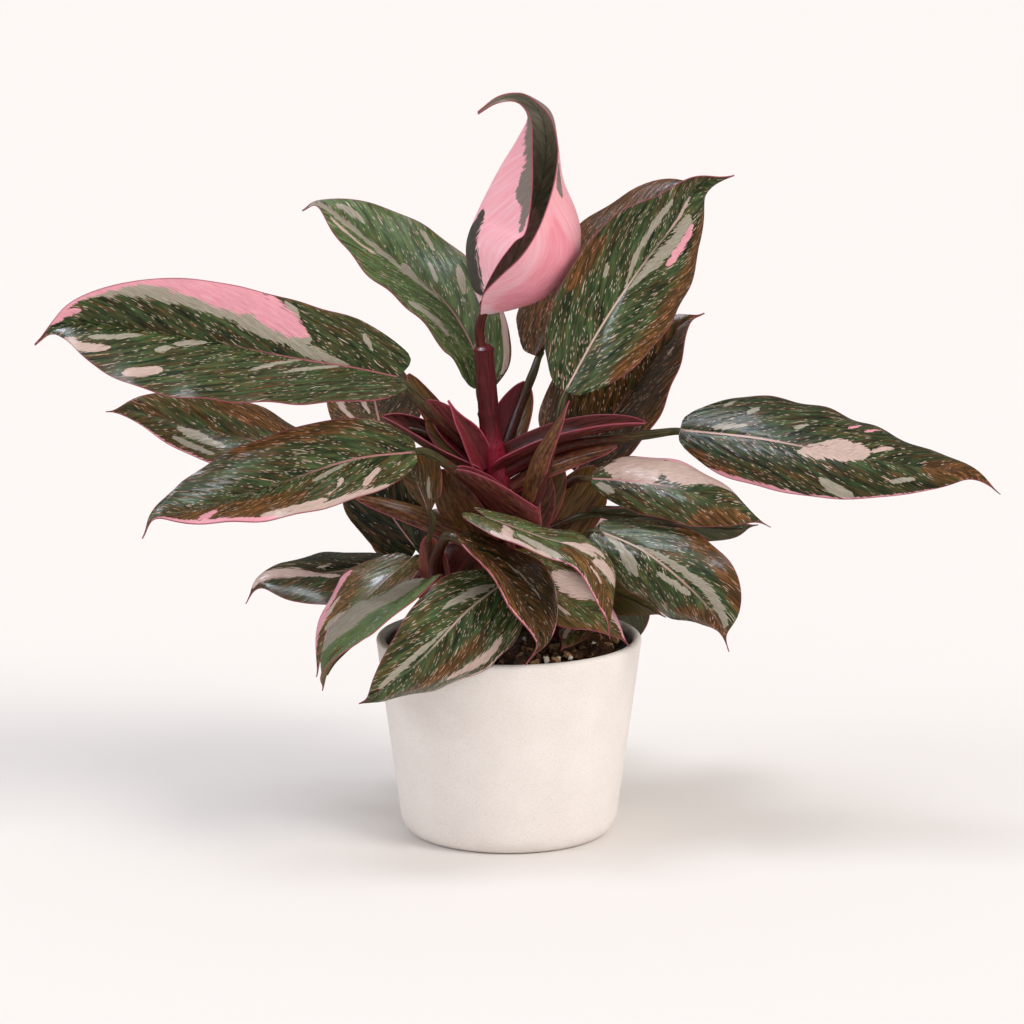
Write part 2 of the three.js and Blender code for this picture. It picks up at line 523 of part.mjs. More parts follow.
/** A closed three.js geometry as a solid that can be joined and cut. */
function solid(geometry) {
  const bare = geometry.clone();
  bare.deleteAttribute('normal');
  bare.deleteAttribute('uv');
  const merged = mergeVertices(bare, 1e-4);
  const index = Array.from(merged.index.array);
  const faces = [];
  for (let i = 0; i < index.length; i += 3) {
    const [a, b, c] = index.slice(i, i + 3);
    if (a !== b && b !== c && c !== a) faces.push(a, b, c);
  }
  return new wasm.Manifold(new wasm.Mesh({
    numProp: 3,
    vertProperties: new Float32Array(merged.attributes.position.array),
    triVerts: new Uint32Array(faces),
  }));
}

/** A solid back as a three.js geometry. */
function shape(manifold) {
  const mesh = manifold.getMesh();
  const geometry = new THREE.BufferGeometry();
  geometry.setAttribute('position', new THREE.BufferAttribute(mesh.vertProperties, 3));
  geometry.setIndex(new THREE.BufferAttribute(mesh.triVerts, 1));
  geometry.computeVertexNormals();
  return geometry;
}

/** Body of revolution about +Z from a closed profile of [radius, height] points. */
function turned(profile) {
  const points = profile.map(([radius, height]) => new THREE.Vector2(radius, height));
  return new THREE.LatheGeometry(points, AROUND).rotateX(Math.PI / 2);
}

/** Cylinder about +Z, its middle at the origin. */
function plumbCylinder(radius, height, sides) {
  return new THREE.CylinderGeometry(radius, radius, height, sides).rotateX(Math.PI / 2);
}

/** Points of an arc in a profile, from one angle to another, in degrees. */
function arcPoints(x, z, radius, from, to, steps) {
  const points = [];
  for (let i = 0; i <= steps; i += 1) {
    const turn = THREE.MathUtils.degToRad(from + ((to - from) * i) / steps);
    points.push([x + radius * Math.cos(turn), z + radius * Math.sin(turn)]);
  }
  return points;
}

// ---- pots and soil ---------------------------------------------------------------------------
const coverRadius = (z) => {
  const spread = COVER_RIM_RADIUS - COVER_FOOT_RADIUS;
  return COVER_FOOT_RADIUS + (spread * z) / COVER_HEIGHT;
};
const linerRadius = (z) => {
  const share = (z - COVER_FLOOR) / (LINER_TOP - COVER_FLOOR);
  return LINER_FOOT_RADIUS + (LINER_RIM_RADIUS - LINER_FOOT_RADIUS) * share;
};

/** Straight stoneware pot with a round heel and a round rim. */
function coverPot() {
  const rimHalf = COVER_WALL / 2;
  const rimZ = COVER_HEIGHT - rimHalf;
  const wellZ = COVER_FLOOR + COVER_WELL_HEIGHT;
  return turned([
    [0, 0],
    ...arcPoints(COVER_FLAT_RADIUS, COVER_HEEL_RADIUS, COVER_HEEL_RADIUS, -90, -8, EDGE_STEPS),
    ...arcPoints(coverRadius(rimZ) - rimHalf, rimZ, rimHalf, 0, 180, EDGE_STEPS),
    [coverRadius(wellZ) - COVER_WALL, wellZ],
    [coverRadius(COVER_FLOOR) - COVER_WALL - COVER_WELL_WIDTH, COVER_FLOOR],
    [0, COVER_FLOOR],
  ]);
}

/** Thin nursery pot with a turned-out lip, open at its drain holes. */
function nurseryPot() {
  const foot = COVER_FLOOR + GAP;
  const lipZ = LINER_TOP - LINER_LIP_HEIGHT;
  let pot = solid(turned([
    [0, foot],
    [linerRadius(foot) - 1, foot],
    [linerRadius(foot + 1), foot + 1],
    [linerRadius(lipZ), lipZ],
    [linerRadius(lipZ) + LINER_LIP, lipZ],
    [linerRadius(LINER_TOP) + LINER_LIP - LINER_LIP_DRAFT, LINER_TOP],
    [linerRadius(LINER_TOP) - LINER_WALL, LINER_TOP],
    [linerRadius(foot + LINER_WALL) - LINER_WALL, foot + LINER_WALL],
    [0, foot + LINER_WALL],
  ]));
  for (let i = 0; i < DRAIN_COUNT; i += 1) {
    const turn = (2 * Math.PI * (i + 0.5)) / DRAIN_COUNT;
    const drain = plumbCylinder(DRAIN_RADIUS, 4 * LINER_WALL, DRAIN_SIDES);
    drain.translate(DRAIN_RING * Math.cos(turn), DRAIN_RING * Math.sin(turn), foot);
    pot = pot.subtract(solid(drain));
  }
  return shape(pot);
}

/** Even draw from 0 to 1 that is the same each run. */
function makeDraw(seed) {
  let state = seed;
  return () => {
    state = (state * 1664525 + 1013904223) % 4294967296;
    return state / 4294967296;
  };
}

/** One bark chip of the given length, turned at random, its middle at the origin. */
function barkChip(length, draw) {
  const chip = new THREE.BoxGeometry(length, length * BARK_WIDTH_SHARE, length * BARK_HEIGHT_SHARE);
  chip.rotateX(0.5 - draw());
  chip.rotateY(0.5 - draw());
  chip.rotateZ(Math.PI * draw());
  return chip;
}

/** Potting mix: a mound with bark chips sunk into it and a plain hole for each stem. */
function pottingMix() {
  const floor = COVER_FLOOR + LINER_WALL + 2 * GAP;
  const inside = (z) => linerRadius(z) - LINER_WALL - GAP;
  const crownDrop = SOIL_CROWN - SOIL_EDGE;
  let soil = solid(turned([
    [0, floor],
    [inside(floor), floor],
    [inside(SOIL_EDGE), SOIL_EDGE],
    [inside(SOIL_EDGE) * 0.75, SOIL_EDGE + crownDrop * 0.5],
    [inside(SOIL_EDGE) * 0.4, SOIL_CROWN - crownDrop * 0.1],
    [0, SOIL_CROWN],
  ]));
  const draw = makeDraw(BARK_SEED);
  const stems = Object.values(STEMS);
  let placed = 0;
  while (placed < BARK_CHIPS) {
    const ring = BARK_RING * Math.sqrt(draw());
    const turn = 2 * Math.PI * draw();
    const [x, y] = [ring * Math.cos(turn), ring * Math.sin(turn)];
    const length = BARK_LENGTH * (0.6 + 0.6 * draw());
    const room = Math.min(...stems.map((s) => Math.hypot(x - s.x, y - s.y) - s.radius));
    if (room > length * 0.7) {
      const surface = SOIL_EDGE + crownDrop * (1 - ring / inside(SOIL_EDGE));
      soil = soil.add(solid(barkChip(length, draw).translate(x, y, surface - BARK_SINK)));
      placed += 1;
    }
  }
  stems.forEach((stem) => {
    const radius = (stem.radius + GAP) / Math.cos(Math.PI / STEM_HOLE_SIDES);
    const height = COVER_HEIGHT;
    const hole = plumbCylinder(radius, height, STEM_HOLE_SIDES);
    hole.translate(stem.x, stem.y, STEM_FOOT - GAP + height / 2);
    soil = soil.subtract(solid(hole));
  });
  return shape(soil);
}

// ---- shoots ----------------------------------------------------------------------------------
/** Last points of a petiole: it runs on a little way under the foot of its blade. */
function petioleEnd(leaf, radius, seatGap) {
  const frame = bladeFrame(leaf, curveThrough(leaf.midrib), 0);
  const below = -(radius + BLADE_THICKNESS / 2 + seatGap);
  return [-SEAT_RUN, SEAT].map((step) => frame.place.clone()
    .addScaledVector(frame.along, step)
    .addScaledVector(frame.up, below)
    .toArray());
}

/** One shoot: its stem, the petioles on it and their sheaths, grown together. */
function shoot(name) {
  const stem = STEM_LINES[name];
  const steps = 2 * (stem.through.length - 1);
  let plant = solid(taperedTube(stem.through, stem.radii, steps, STEM_SIDES));
  PETIOLES[name].forEach(({ leaf, through, radii, seatGap = SEAT_GAP }) => {
    const path = [...through, ...petioleEnd({ ...LEAF, ...LEAVES[leaf] }, radii[1], seatGap)];
    plant = plant.add(solid(taperedTube(path, radii, PETIOLE_STEPS, PETIOLE_SIDES)));
  });
  SHEATHS[name].forEach((sheath) => {
    plant = plant.add(solid(sheet(bladeRows({ ...SHEATH, ...sheath }), SHEATH_THICKNESS)));
  });
  if (name === 'main') {
    const { through, radii, steps: upward } = ROLLED_PETIOLE;
    plant = plant.add(solid(taperedTube(through, radii, upward, PETIOLE_SIDES)));
  }
  return shape(plant);
}

// ---- the assembly ----------------------------------------------------------------------------
const plain = (color, roughness) => new THREE.MeshStandardMaterial({ color, roughness });
const MATERIALS = {
  stoneware: plain(0xece0d6, 0.75),
  nurseryPlastic: plain(0x39403f, 0.6),
  barkMix: plain(0x33231b, 0.95),
  petioleTissue: plain(0x6d2133, 0.4),
  leafTissue: plain(0x3c4a2c, 0.35),
  pinkLeafTissue: plain(0xe7919f, 0.4),
};

const plantInPot = new THREE.Group();

function place(name, geometry, material) {
  const mesh = new THREE.Mesh(geometry, material.clone());
  mesh.name = name;
  plantInPot.add(mesh);
}

place('cover_pot', coverPot(), MATERIALS.stoneware);
place('nursery_pot', nurseryPot(), MATERIALS.nurseryPlastic);
place('potting_mix', pottingMix(), MATERIALS.barkMix);
Object.keys(STEMS).forEach((name) => {
  place(`shoot_${name}`, shoot(name), MATERIALS.petioleTissue);
});
Object.entries(LEAVES).forEach(([name, leaf]) => {
  place(name, sheet(bladeRows({ ...LEAF, ...leaf }), BLADE_THICKNESS), MATERIALS.leafTissue);
});
const rolledRows = railRows(ROLLED_LEAF, ROLLED_ROWS, ROLLED_COLUMNS);
place('leaf_rolled', sheet(rolledRows, BLADE_THICKNESS), MATERIALS.pinkLeafTissue);

export default plantInPot;
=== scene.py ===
"""Pink princess philodendron in its pot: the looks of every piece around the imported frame.

Lengths in the tables are millimetres in the plant's own frame: +Z up, the front towards -Y and
the origin under the middle of the cover pot. Meshes are made in metres from them.
"""

import json
import logging
import math
import random
from collections.abc import Callable
from dataclasses import dataclass
from enum import Enum

import bpy
import numpy as np
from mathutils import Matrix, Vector, noise

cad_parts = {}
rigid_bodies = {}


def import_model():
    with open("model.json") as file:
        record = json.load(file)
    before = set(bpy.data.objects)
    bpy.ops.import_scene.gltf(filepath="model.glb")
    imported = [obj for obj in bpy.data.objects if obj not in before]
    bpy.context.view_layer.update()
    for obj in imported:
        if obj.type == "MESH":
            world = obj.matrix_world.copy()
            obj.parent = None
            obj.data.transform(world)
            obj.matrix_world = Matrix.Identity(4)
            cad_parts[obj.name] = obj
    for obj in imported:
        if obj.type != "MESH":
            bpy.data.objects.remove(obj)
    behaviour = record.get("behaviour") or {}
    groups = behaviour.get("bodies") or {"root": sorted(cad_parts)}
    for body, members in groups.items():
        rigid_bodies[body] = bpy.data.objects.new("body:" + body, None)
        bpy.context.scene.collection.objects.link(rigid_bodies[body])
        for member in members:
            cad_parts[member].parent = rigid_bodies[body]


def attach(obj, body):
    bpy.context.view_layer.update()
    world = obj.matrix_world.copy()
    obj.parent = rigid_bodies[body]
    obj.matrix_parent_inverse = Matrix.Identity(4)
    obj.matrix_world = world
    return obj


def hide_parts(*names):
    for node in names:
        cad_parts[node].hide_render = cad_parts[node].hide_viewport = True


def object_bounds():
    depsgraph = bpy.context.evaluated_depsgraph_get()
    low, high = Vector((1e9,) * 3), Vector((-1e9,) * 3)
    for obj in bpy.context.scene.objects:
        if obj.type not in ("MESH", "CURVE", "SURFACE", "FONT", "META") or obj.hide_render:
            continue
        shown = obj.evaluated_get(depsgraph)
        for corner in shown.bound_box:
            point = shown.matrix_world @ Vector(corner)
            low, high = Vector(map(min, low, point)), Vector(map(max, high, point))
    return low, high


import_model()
cad_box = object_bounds()

MM = 0.001
BODY = "root"
log = logging.getLogger("philodendron")

Array = np.ndarray
Socket = bpy.types.NodeSocket
Material = bpy.types.Material
Piece = bpy.types.Object
Pair = tuple[float, float]
Triple = tuple[float, float, float]
Points = tuple[Triple, ...]
Profile = tuple[Pair, ...]  # radius and height of each point, mm


# ---- node trees ----
def linear(colour: str) -> tuple[float, float, float, float]:
    """Turns an sRGB hex colour into linear RGBA.

    Args:
        colour: "#RRGGBB".

    Returns:
        Linear red, green, blue and an alpha of 1.
    """
    channels = [int(colour[i:i + 2], 16) / 255 for i in (1, 3, 5)]
    red, green, blue = [c / 12.92 if c <= 0.04045 else ((c + 0.055) / 1.055) ** 2.4 for c in channels]
    return red, green, blue, 1.0


class Recipe:
    """The node tree of one material."""

    def __init__(self, name: str) -> None:
        """Starts an empty tree in a new material.

        Args:
            name: The material's name.
        """
        self.material = bpy.data.materials.new(name)
        self.material.use_nodes = True
        self.material.node_tree.nodes.clear()

    def add(self, kind: str, inputs: dict | tuple = (), out: int | str = 0, **settings: object) -> Socket:
        """Adds a node with its settings and links.

        Args:
            kind: Node type without its ShaderNode prefix.
            inputs: Values or sockets in the inputs' order, or by an input's name or index. A MapRange
                has its value, then the range it comes from, then the range it goes to.
            out: Name or index of the output that is handed back.
            **settings: Properties of the node.

        Returns:
            The chosen output socket.
        """
        tree = self.material.node_tree
        node = tree.nodes.new("ShaderNode" + kind)
        for name, value in settings.items():
            setattr(node, name, value)
        named = inputs if isinstance(inputs, dict) else dict(enumerate(inputs))
        for name, value in named.items():
            if isinstance(value, Socket):
                tree.links.new(value, node.inputs[name])
            else:
                node.inputs[name].default_value = value
        return node.outputs[out]

    def finish(self, colour: Socket, roughness: float | Socket, height: Socket, relief: float,
               **constants: float) -> Material:
        """Closes the tree with a principled surface.

        Args:
            colour: Base colour.
            roughness: Constant or socket.
            height: Height pattern for the fine relief, 0 to 1.
            relief: Height of that pattern in millimetres.
            **constants: Other inputs of the surface, with _ for a space.

        Returns:
            The finished material.
        """
        normal = self.add("Bump", {"Strength": 1.0, "Distance": relief * MM, "Height": height})
        inputs = {"Base Color": colour, "Roughness": roughness, "Normal": normal}
        inputs |= {name.replace("_", " "): value for name, value in constants.items()}
        self.add_output(self.add("BsdfPrincipled", inputs))
        return self.material

    def add_output(self, surface: Socket) -> None:
        """Links a surface to the material's output."""
        tree = self.material.node_tree
        tree.links.new(surface, tree.nodes.new("ShaderNodeOutputMaterial").inputs["Surface"])


@dataclass(frozen=True)
class Hues:
    """Two ends of a mottled colour."""

    deep: str
    pale: str

    def mix(self, recipe: Recipe, share: Socket) -> Socket:
        """Returns the colour at a share from deep to pale."""
        return recipe.add("Mix", {0: share, 6: linear(self.deep), 7: linear(self.pale)}, 2,
                          data_type="RGBA")


# ---- finishes ----
@dataclass(frozen=True)
class Fleck:
    """Small flecks of pale tissue that lie along the side veins."""

    across: float  # cell size across the veins, mm
    along: float   # and along them
    reach: float   # spot size as a share of its cell
    share: float   # share of cells with a spot where the density is 1


FLECKS = (Fleck(1.1, 1.4, 0.34, 0.17), Fleck(1.2, 2.4, 0.30, 0.08), Fleck(2.1, 5.5, 0.27, 0.045))
FLECK_PALE = "#E8D2C0"  # cream flecks
FLECK_WARM = "#D88A68"  # and salmon ones
FLECK_WEAKEST = 0.45    # how strongly the faintest fleck shows
SHADE_POWER = 1.7       # how much of the green stays dark
SECTOR_FRAY = 2.6       # how far noise moves a sector's edge, in field units
SECTOR_SOFT = 0.05      # half width of that edge, in the same units
VEIN_STEP = 8.0         # side veins leave the midrib this far apart
VEINLET_STEP = 1.3      # and fine parallel veins fill the blade between them
TISSUE_IOR = 1.45
TISSUE_RELIEF = 0.17    # height of the veinlets, mm
SKIN_RELIEF = 0.22      # height of the fibres in a petiole's skin, mm
WOOL_SIZE = 30          # clouds in a gritty matter are this many times its grit


@dataclass(frozen=True)
class LeafFinish:
    """Living leaf tissue, waxy and glossy: dark green with silver, cream and pink sectors."""

    name: str
    green: Hues
    bronze: Hues
    silver: Hues
    cream: Hues
    pink: Hues
    vein: str
    vein_share: float
    margin: str
    midrib: str
    roughness: float
    wax: float = 0.0     # weight of the clear wax layer
    flesh: float = 0.05  # how much light the tissue lets in

    def build(self) -> Material:
        """Builds the material."""
        return LeafRecipe(self).build()


class LeafRecipe(Recipe):
    """The node tree of leaf tissue, from the attributes blade, sector, tone and rib."""

    def __init__(self, leaf: LeafFinish) -> None:
        """Starts the tree with the blade's coordinates in millimetres.

        Args:
            leaf: Colours and gloss of the tissue.
        """
        super().__init__(leaf.name)
        self.leaf = leaf
        self.blade = self.add("Attribute", out="Vector", attribute_name="blade")

    def veined(self, across: float, along: float, shift: float = 0.0, detail: float = 3.0) -> Socket:
        """Adds a noise that lies along the side veins.

        Args:
            across: Size of its features across the veins, mm.
            along: And along them.
            shift: Moves the noise, so that two of one size differ.
            detail: Octaves.

        Returns:
            Noise from 0 to 1.
        """
        place = self.add("VectorMath", (self.blade, (1 / across, 1 / along, 0.0), (shift, shift, 0.0)),
                         operation="MULTIPLY_ADD")
        return self.add("TexNoise", {"Vector": place, "Scale": 1.0, "Detail": detail, "Roughness": 0.6})

    def ragged(self, field: Socket, fray: Socket) -> Socket:
        """Returns the mask of a sector's distance field, with an edge that frays along the veins."""
        moved = self.add("Math", (fray, SECTOR_FRAY, field), operation="MULTIPLY_ADD")
        return self.add("MapRange", (moved, SECTOR_FRAY / 2 - SECTOR_SOFT, SECTOR_FRAY / 2 + SECTOR_SOFT),
                        interpolation_type="SMOOTHSTEP")

    def flecks(self, density: Socket, fleck: Fleck) -> tuple[Socket, Socket]:
        """Draws one size of fleck.

        Args:
            density: How thickly the flecks lie, 0 to 1.
            fleck: Their size and share.

        Returns:
            Mask of the spots, and a random number for each.
        """
        place = self.add("VectorMath", (self.blade, (1 / fleck.across, 1 / fleck.along, 0.0)),
                         operation="MULTIPLY")
        cells = self.add("TexVoronoi", {"Vector": place, "Scale": 1.0}, voronoi_dimensions="2D")
        draws = self.add("SeparateColor", (cells.node.outputs["Color"],))
        level = self.add("Math", (density, fleck.share, draws), operation="MULTIPLY_ADD")
        chosen = self.add("Math", (level, 1.0), operation="GREATER_THAN")
        spot = self.add("MapRange", (cells, fleck.reach, fleck.reach * 0.65))
        strong = self.add("MapRange", {"Value": draws.node.outputs[2], "To Min": FLECK_WEAKEST})
        mask = self.add("Math", (spot, chosen), operation="MULTIPLY")
        mask = self.add("Math", (mask, strong), operation="MULTIPLY")
        return mask, draws.node.outputs[1]

    def ground(self, grain: Socket, light: Socket, bronze: Socket) -> Socket:
        """Mixes the green ground with its bronze flush.

        Args:
            grain: Fine noise.
            light: How light the green is.
            bronze: How much bronze there is.

        Returns:
            Colour.
        """
        cloud = self.add("MapRange", (self.veined(6.0, 8.5), 0.34, 0.66))
        shade = self.add("Mix", {0: 0.27, 2: cloud, 3: grain}, data_type="FLOAT")
        shade = self.add("Math", (shade, 0.8, light), operation="MULTIPLY_ADD")
        shade = self.add("Math", (shade, 0.25), operation="SUBTRACT", use_clamp=True)
        shade = self.add("Math", (shade, SHADE_POWER), operation="POWER")
        colour = self.leaf.green.mix(self, shade)
        flush = self.veined(6.5, 8.0, 7.3)
        flush = self.add("Math", (flush, bronze), operation="ADD")
        flush = self.add("Math", (grain, 0.15, flush), operation="MULTIPLY_ADD")
        flush = self.add("MapRange", (flush, 0.62, 1.0, 0.0, 0.85))
        rust = self.add("MapRange", (self.veined(3.5, 4.5, 3.1), 0.45, 0.7))
        return self.add("Mix", {0: flush, 6: colour, 7: self.leaf.bronze.mix(self, rust)}, 2,
                        data_type="RGBA")

    def build(self) -> Material:
        """Lays the veins, flecks, sectors, margin and midrib over the ground.

        Returns:
            The finished material.
        """
        leaf = self.leaf
        crosswise = self.add("SeparateXYZ", (self.blade,))
        across, edge = crosswise.node.outputs[1:3]
        pink = self.add("SeparateXYZ", (self.add("Attribute", out="Vector", attribute_name="sector"),))
        silver, cream = pink.node.outputs[1:3]
        bronze = self.add("SeparateXYZ", (self.add("Attribute", out="Vector", attribute_name="tone"),))
        light, density = bronze.node.outputs[1:3]
        rib = self.add("SeparateXYZ", (self.add("Attribute", out="Vector", attribute_name="rib"),))

        grain = self.veined(1.2, 2.3, 0.0, 5.0)
        tuft = self.veined(2.0, 4.8, 1.7)
        lobes = self.veined(8.0, 9.0, 5.9)
        mottle = self.add("MapRange", (grain, 0.3, 0.7))
        fray = self.add("Mix", {0: 0.45, 2: tuft, 3: lobes}, data_type="FLOAT")
        colour = self.ground(mottle, light, bronze)
        line = self.add("Math", (crosswise, VEIN_STEP / 2), operation="PINGPONG")
        line = self.add("MapRange", (line, 0.4, 0.1, 0.0, leaf.vein_share))
        colour = self.add("Mix", {0: line, 6: colour, 7: linear(leaf.vein)}, 2, data_type="RGBA")

        uneven = self.add("MapRange", (lobes, 0.38, 0.6, 0.35, 1.6))
        density = self.add("Math", (density, uneven), operation="MULTIPLY")
        for fleck in FLECKS:
            mask, draw = self.flecks(density, fleck)
            warmth = self.add("Math", (draw, bronze), operation="ADD")
            warmth = self.add("MapRange", (warmth, 0.65, 1.2))
            hue = self.add("Mix", {0: warmth, 6: linear(FLECK_PALE), 7: linear(FLECK_WARM)}, 2,
                           data_type="RGBA")
            colour = self.add("Mix", {0: mask, 6: colour, 7: hue}, 2, data_type="RGBA")
        for field, hues in ((silver, leaf.silver), (cream, leaf.cream), (pink, leaf.pink)):
            mask = self.ragged(field, fray)
            colour = self.add("Mix", {0: mask, 6: colour, 7: hues.mix(self, mottle)}, 2,
                              data_type="RGBA")
        rim = self.add("MapRange", (edge, 0.8, 0.2, 0.0, 0.75))
        colour = self.add("Mix", {0: rim, 6: colour, 7: linear(leaf.margin)}, 2, data_type="RGBA")
        middle = self.add("Math", (across,), operation="ABSOLUTE")
        middle = self.add("MapRange", (middle, 0.75, 0.3))
        middle = self.add("Math", (middle, rib), operation="MULTIPLY")
        line = self.add("Mix", {0: rib.node.outputs[1], 6: linear(leaf.midrib), 7: linear(FLECK_PALE)},
                        2, data_type="RGBA")
        colour = self.add("Mix", {0: middle, 6: colour, 7: line}, 2, data_type="RGBA")

        veinlet = self.add("Math", (crosswise, VEINLET_STEP / 2), operation="PINGPONG")
        height = self.add("Math", (veinlet, 0.25, tuft), operation="MULTIPLY_ADD")
        height = self.add("Math", (grain, 0.3, height), operation="MULTIPLY_ADD")
        rough = self.add("MapRange", {"Value": tuft, "To Min": leaf.roughness - 0.05,
                                      "To Max": leaf.roughness + 0.07})
        return self.finish(colour, rough, height, TISSUE_RELIEF, IOR=TISSUE_IOR,
                           Subsurface_Weight=leaf.flesh, Subsurface_Scale=2 * MM, Coat_Weight=leaf.wax,
                           Coat_Roughness=0.12)


@dataclass(frozen=True)
class StalkFinish:
    """Petioles, sheaths and stems: smooth waxy skin that turns from crimson to olive."""

    name: str
    flushed: Hues
    green: Hues
    streak: str
    glow: str         # the bright flush at the foot and towards the margins
    margin: str
    roughness: float
    wax: float = 0.0  # weight of the clear wax layer

    def build(self) -> Material:
        """Builds the material from the attributes run and tone.

        Returns:
            The finished material.
        """
        recipe = Recipe(self.name)
        add = recipe.add
        run = add("Attribute", out="Vector", attribute_name="run")
        edge = add("SeparateXYZ", (run,)).node.outputs[2]
        turned = add("SeparateXYZ", (add("Attribute", out="Vector", attribute_name="tone"),))
        glowing = turned.node.outputs[1]
        long = add("VectorMath", (run, (0.07, 0.9, 0.0)), operation="MULTIPLY")
        fibre = add("TexNoise", {"Vector": long, "Scale": 1.0, "Detail": 4.0, "Roughness": 0.6})
        short = add("VectorMath", (run, (0.35, 0.6, 0.0)), operation="MULTIPLY")
        blotch = add("TexNoise", {"Vector": short, "Scale": 1.0, "Detail": 3.0})
        mottle = add("MapRange", (fibre, 0.36, 0.64))
        turn = add("Math", (blotch, 1.2, turned), operation="MULTIPLY_ADD")
        turn = add("MapRange", (turn, 0.85, 1.35), interpolation_type="SMOOTHSTEP")
        colour = add("Mix", {0: turn, 6: self.flushed.mix(recipe, mottle), 7: self.green.mix(recipe, mottle)},
                     2, data_type="RGBA")
        dark = add("MapRange", (fibre, 0.42, 0.34, 0.0, 0.35))
        colour = add("Mix", {0: dark, 6: colour, 7: linear(self.streak)}, 2, data_type="RGBA")
        lit = add("MapRange", (edge, 3.0, 0.4, 0.0, 0.45))
        lit = add("Math", (lit, glowing), operation="ADD")
        lit = add("Math", (lit, blotch), operation="MULTIPLY")
        lit = add("MapRange", (lit, 0.1, 0.6, 0.0, 0.9))
        colour = add("Mix", {0: lit, 6: colour, 7: linear(self.glow)}, 2, data_type="RGBA")
        rim = add("MapRange", (edge, 0.7, 0.15, 0.0, 0.8))
        colour = add("Mix", {0: rim, 6: colour, 7: linear(self.margin)}, 2, data_type="RGBA")
        rough = add("MapRange", {"Value": blotch, "To Min": self.roughness - 0.05,
                                 "To Max": self.roughness + 0.1})
        return recipe.finish(colour, rough, fibre, SKIN_RELIEF, IOR=TISSUE_IOR, Coat_Weight=self.wax,
                             Coat_Roughness=0.15)


@dataclass(frozen=True)
class GrittyFinish:
    """Matt mineral or woody matter with a fine grit and larger specks."""

    name: str
    body: Hues
    specks: str
    speck_size: float   # mm
    speck_share: float  # share of speck cells that carry one
    grit: float         # mm
    relief: float       # mm
    roughness: float
    specular: float = 0.5

    def build(self) -> Material:
        """Builds the material on Object coordinates, which are metres.

        Returns:
            The finished material.
        """
        recipe = Recipe(self.name)
        add = recipe.add
        place = add("TexCoord", out="Object")
        fine = add("TexNoise", {"Vector": place, "Scale": 1 / (self.grit * MM), "Detail": 3.0})
        wide = add("TexNoise", {"Vector": place, "Scale": 1 / (WOOL_SIZE * self.grit * MM), "Detail": 4.0})
        blend = add("Mix", {0: 0.3, 2: fine, 3: wide}, data_type="FLOAT")
        colour = self.body.mix(recipe, add("MapRange", (blend, 0.36, 0.64)))
        cells = add("TexVoronoi", {"Vector": place, "Scale": 1 / (3 * self.speck_size * MM)})
        draw = add("SeparateColor", (cells.node.outputs["Color"],))
        chosen = add("Math", (draw, self.speck_share), operation="LESS_THAN")
        spot = add("MapRange", (cells, 0.3, 0.14, 0.0, 0.8))
        mask = add("Math", (spot, chosen), operation="MULTIPLY")
        colour = add("Mix", {0: mask, 6: colour, 7: linear(self.specks)}, 2, data_type="RGBA")
        return recipe.finish(colour, self.roughness, fine, self.relief, Specular_IOR_Level=self.specular)


LEAF_UPPER = LeafFinish(
    # Upper skin of a blade: dark green under a thin wax that gives soft broad highlights.
    name="leaf_upper_waxy_satin", green=Hues("#0C170C", "#647E4B"), bronze=Hues("#4A2E14", "#985F30"),
    silver=Hues("#8A8474", "#B8B0A0"), cream=Hues("#AE958B", "#DBC1B6"), pink=Hues("#DC8C9C", "#F2B2BD"),
    vein="#5C6840", vein_share=0.12, margin="#8A4450", midrib="#B8747A", roughness=0.25, wax=0.35,
)
LEAF_UNDER = LeafFinish(
    # Underside: paler and duller, flushed maroon between the veins.
    name="leaf_underside_satin", green=Hues("#39432F", "#6B7452"), bronze=Hues("#5A4A22", "#7E7430"),
    silver=Hues("#8D8B78", "#B5AB9D"), cream=Hues("#CDB48F", "#E2D0B8"), pink=Hues("#D98590", "#EFB0B5"),
    vein="#8A6A4E", vein_share=0.45, margin="#8C3B46", midrib="#8A4A3E", roughness=0.5,
)
LEAF_ROLL_OUTSIDE = LeafFinish(
    # Outside of the newest leaf: tender and pink; its silver is grey-mauve, its cream nearly black.
    name="new_leaf_outside_satin", green=Hues("#FFA8B6", "#FFD6DC"), bronze=Hues("#F48EA0", "#FFA8B6"),
    silver=Hues("#6E635A", "#9A8C86"), cream=Hues("#34322C", "#5C554E"), pink=Hues("#F08C9B", "#F8B2BA"),
    vein="#E07888", vein_share=0.12, margin="#B8506A", midrib="#D06878", roughness=0.40, flesh=0.15,
)
LEAF_ROLL_INSIDE = LeafFinish(
    # Inside of the newest leaf: glossy dark green. Its green, and its bronze flush at the foot of the slit
    # where the bronze marks lie, are painted much paler than the tissue: painted light that lifts the shade
    # inside the roll.
    name="new_leaf_inside_glossy_painted_light", green=Hues("#6E6C58", "#B8B69C"), bronze=Hues("#C8A098", "#E8C4BC"),
    silver=Hues("#6E6A58", "#989484"), cream=Hues("#2E2C26", "#4A463C"), pink=Hues("#E58F9B", "#F5B9BF"),
    vein="#4C4E3C", vein_share=0.3, margin="#B04C5C", midrib="#4C4E3C", roughness=0.26, wax=0.5,
)
LEAF_EDGE = StalkFinish(
    # The cut-thin margin of a blade, a fine maroon-pink line.
    name="leaf_margin", flushed=Hues("#7E3340", "#B86A70"), green=Hues("#7A4A3C", "#A98A5E"),
    streak="#5A2028", glow="#A85064", margin="#A04A56", roughness=0.5,
)
PETIOLE_SKIN = StalkFinish(
    # Petioles: waxy crimson at the foot, olive with dark streaks towards the blade.
    name="petiole_waxy_skin", flushed=Hues("#38120F", "#66251F"), green=Hues("#2A2A16", "#5E5A36"),
    streak="#1A0F0C", glow="#9C2A40", margin="#8A3448", roughness=0.30, wax=0.3,
)
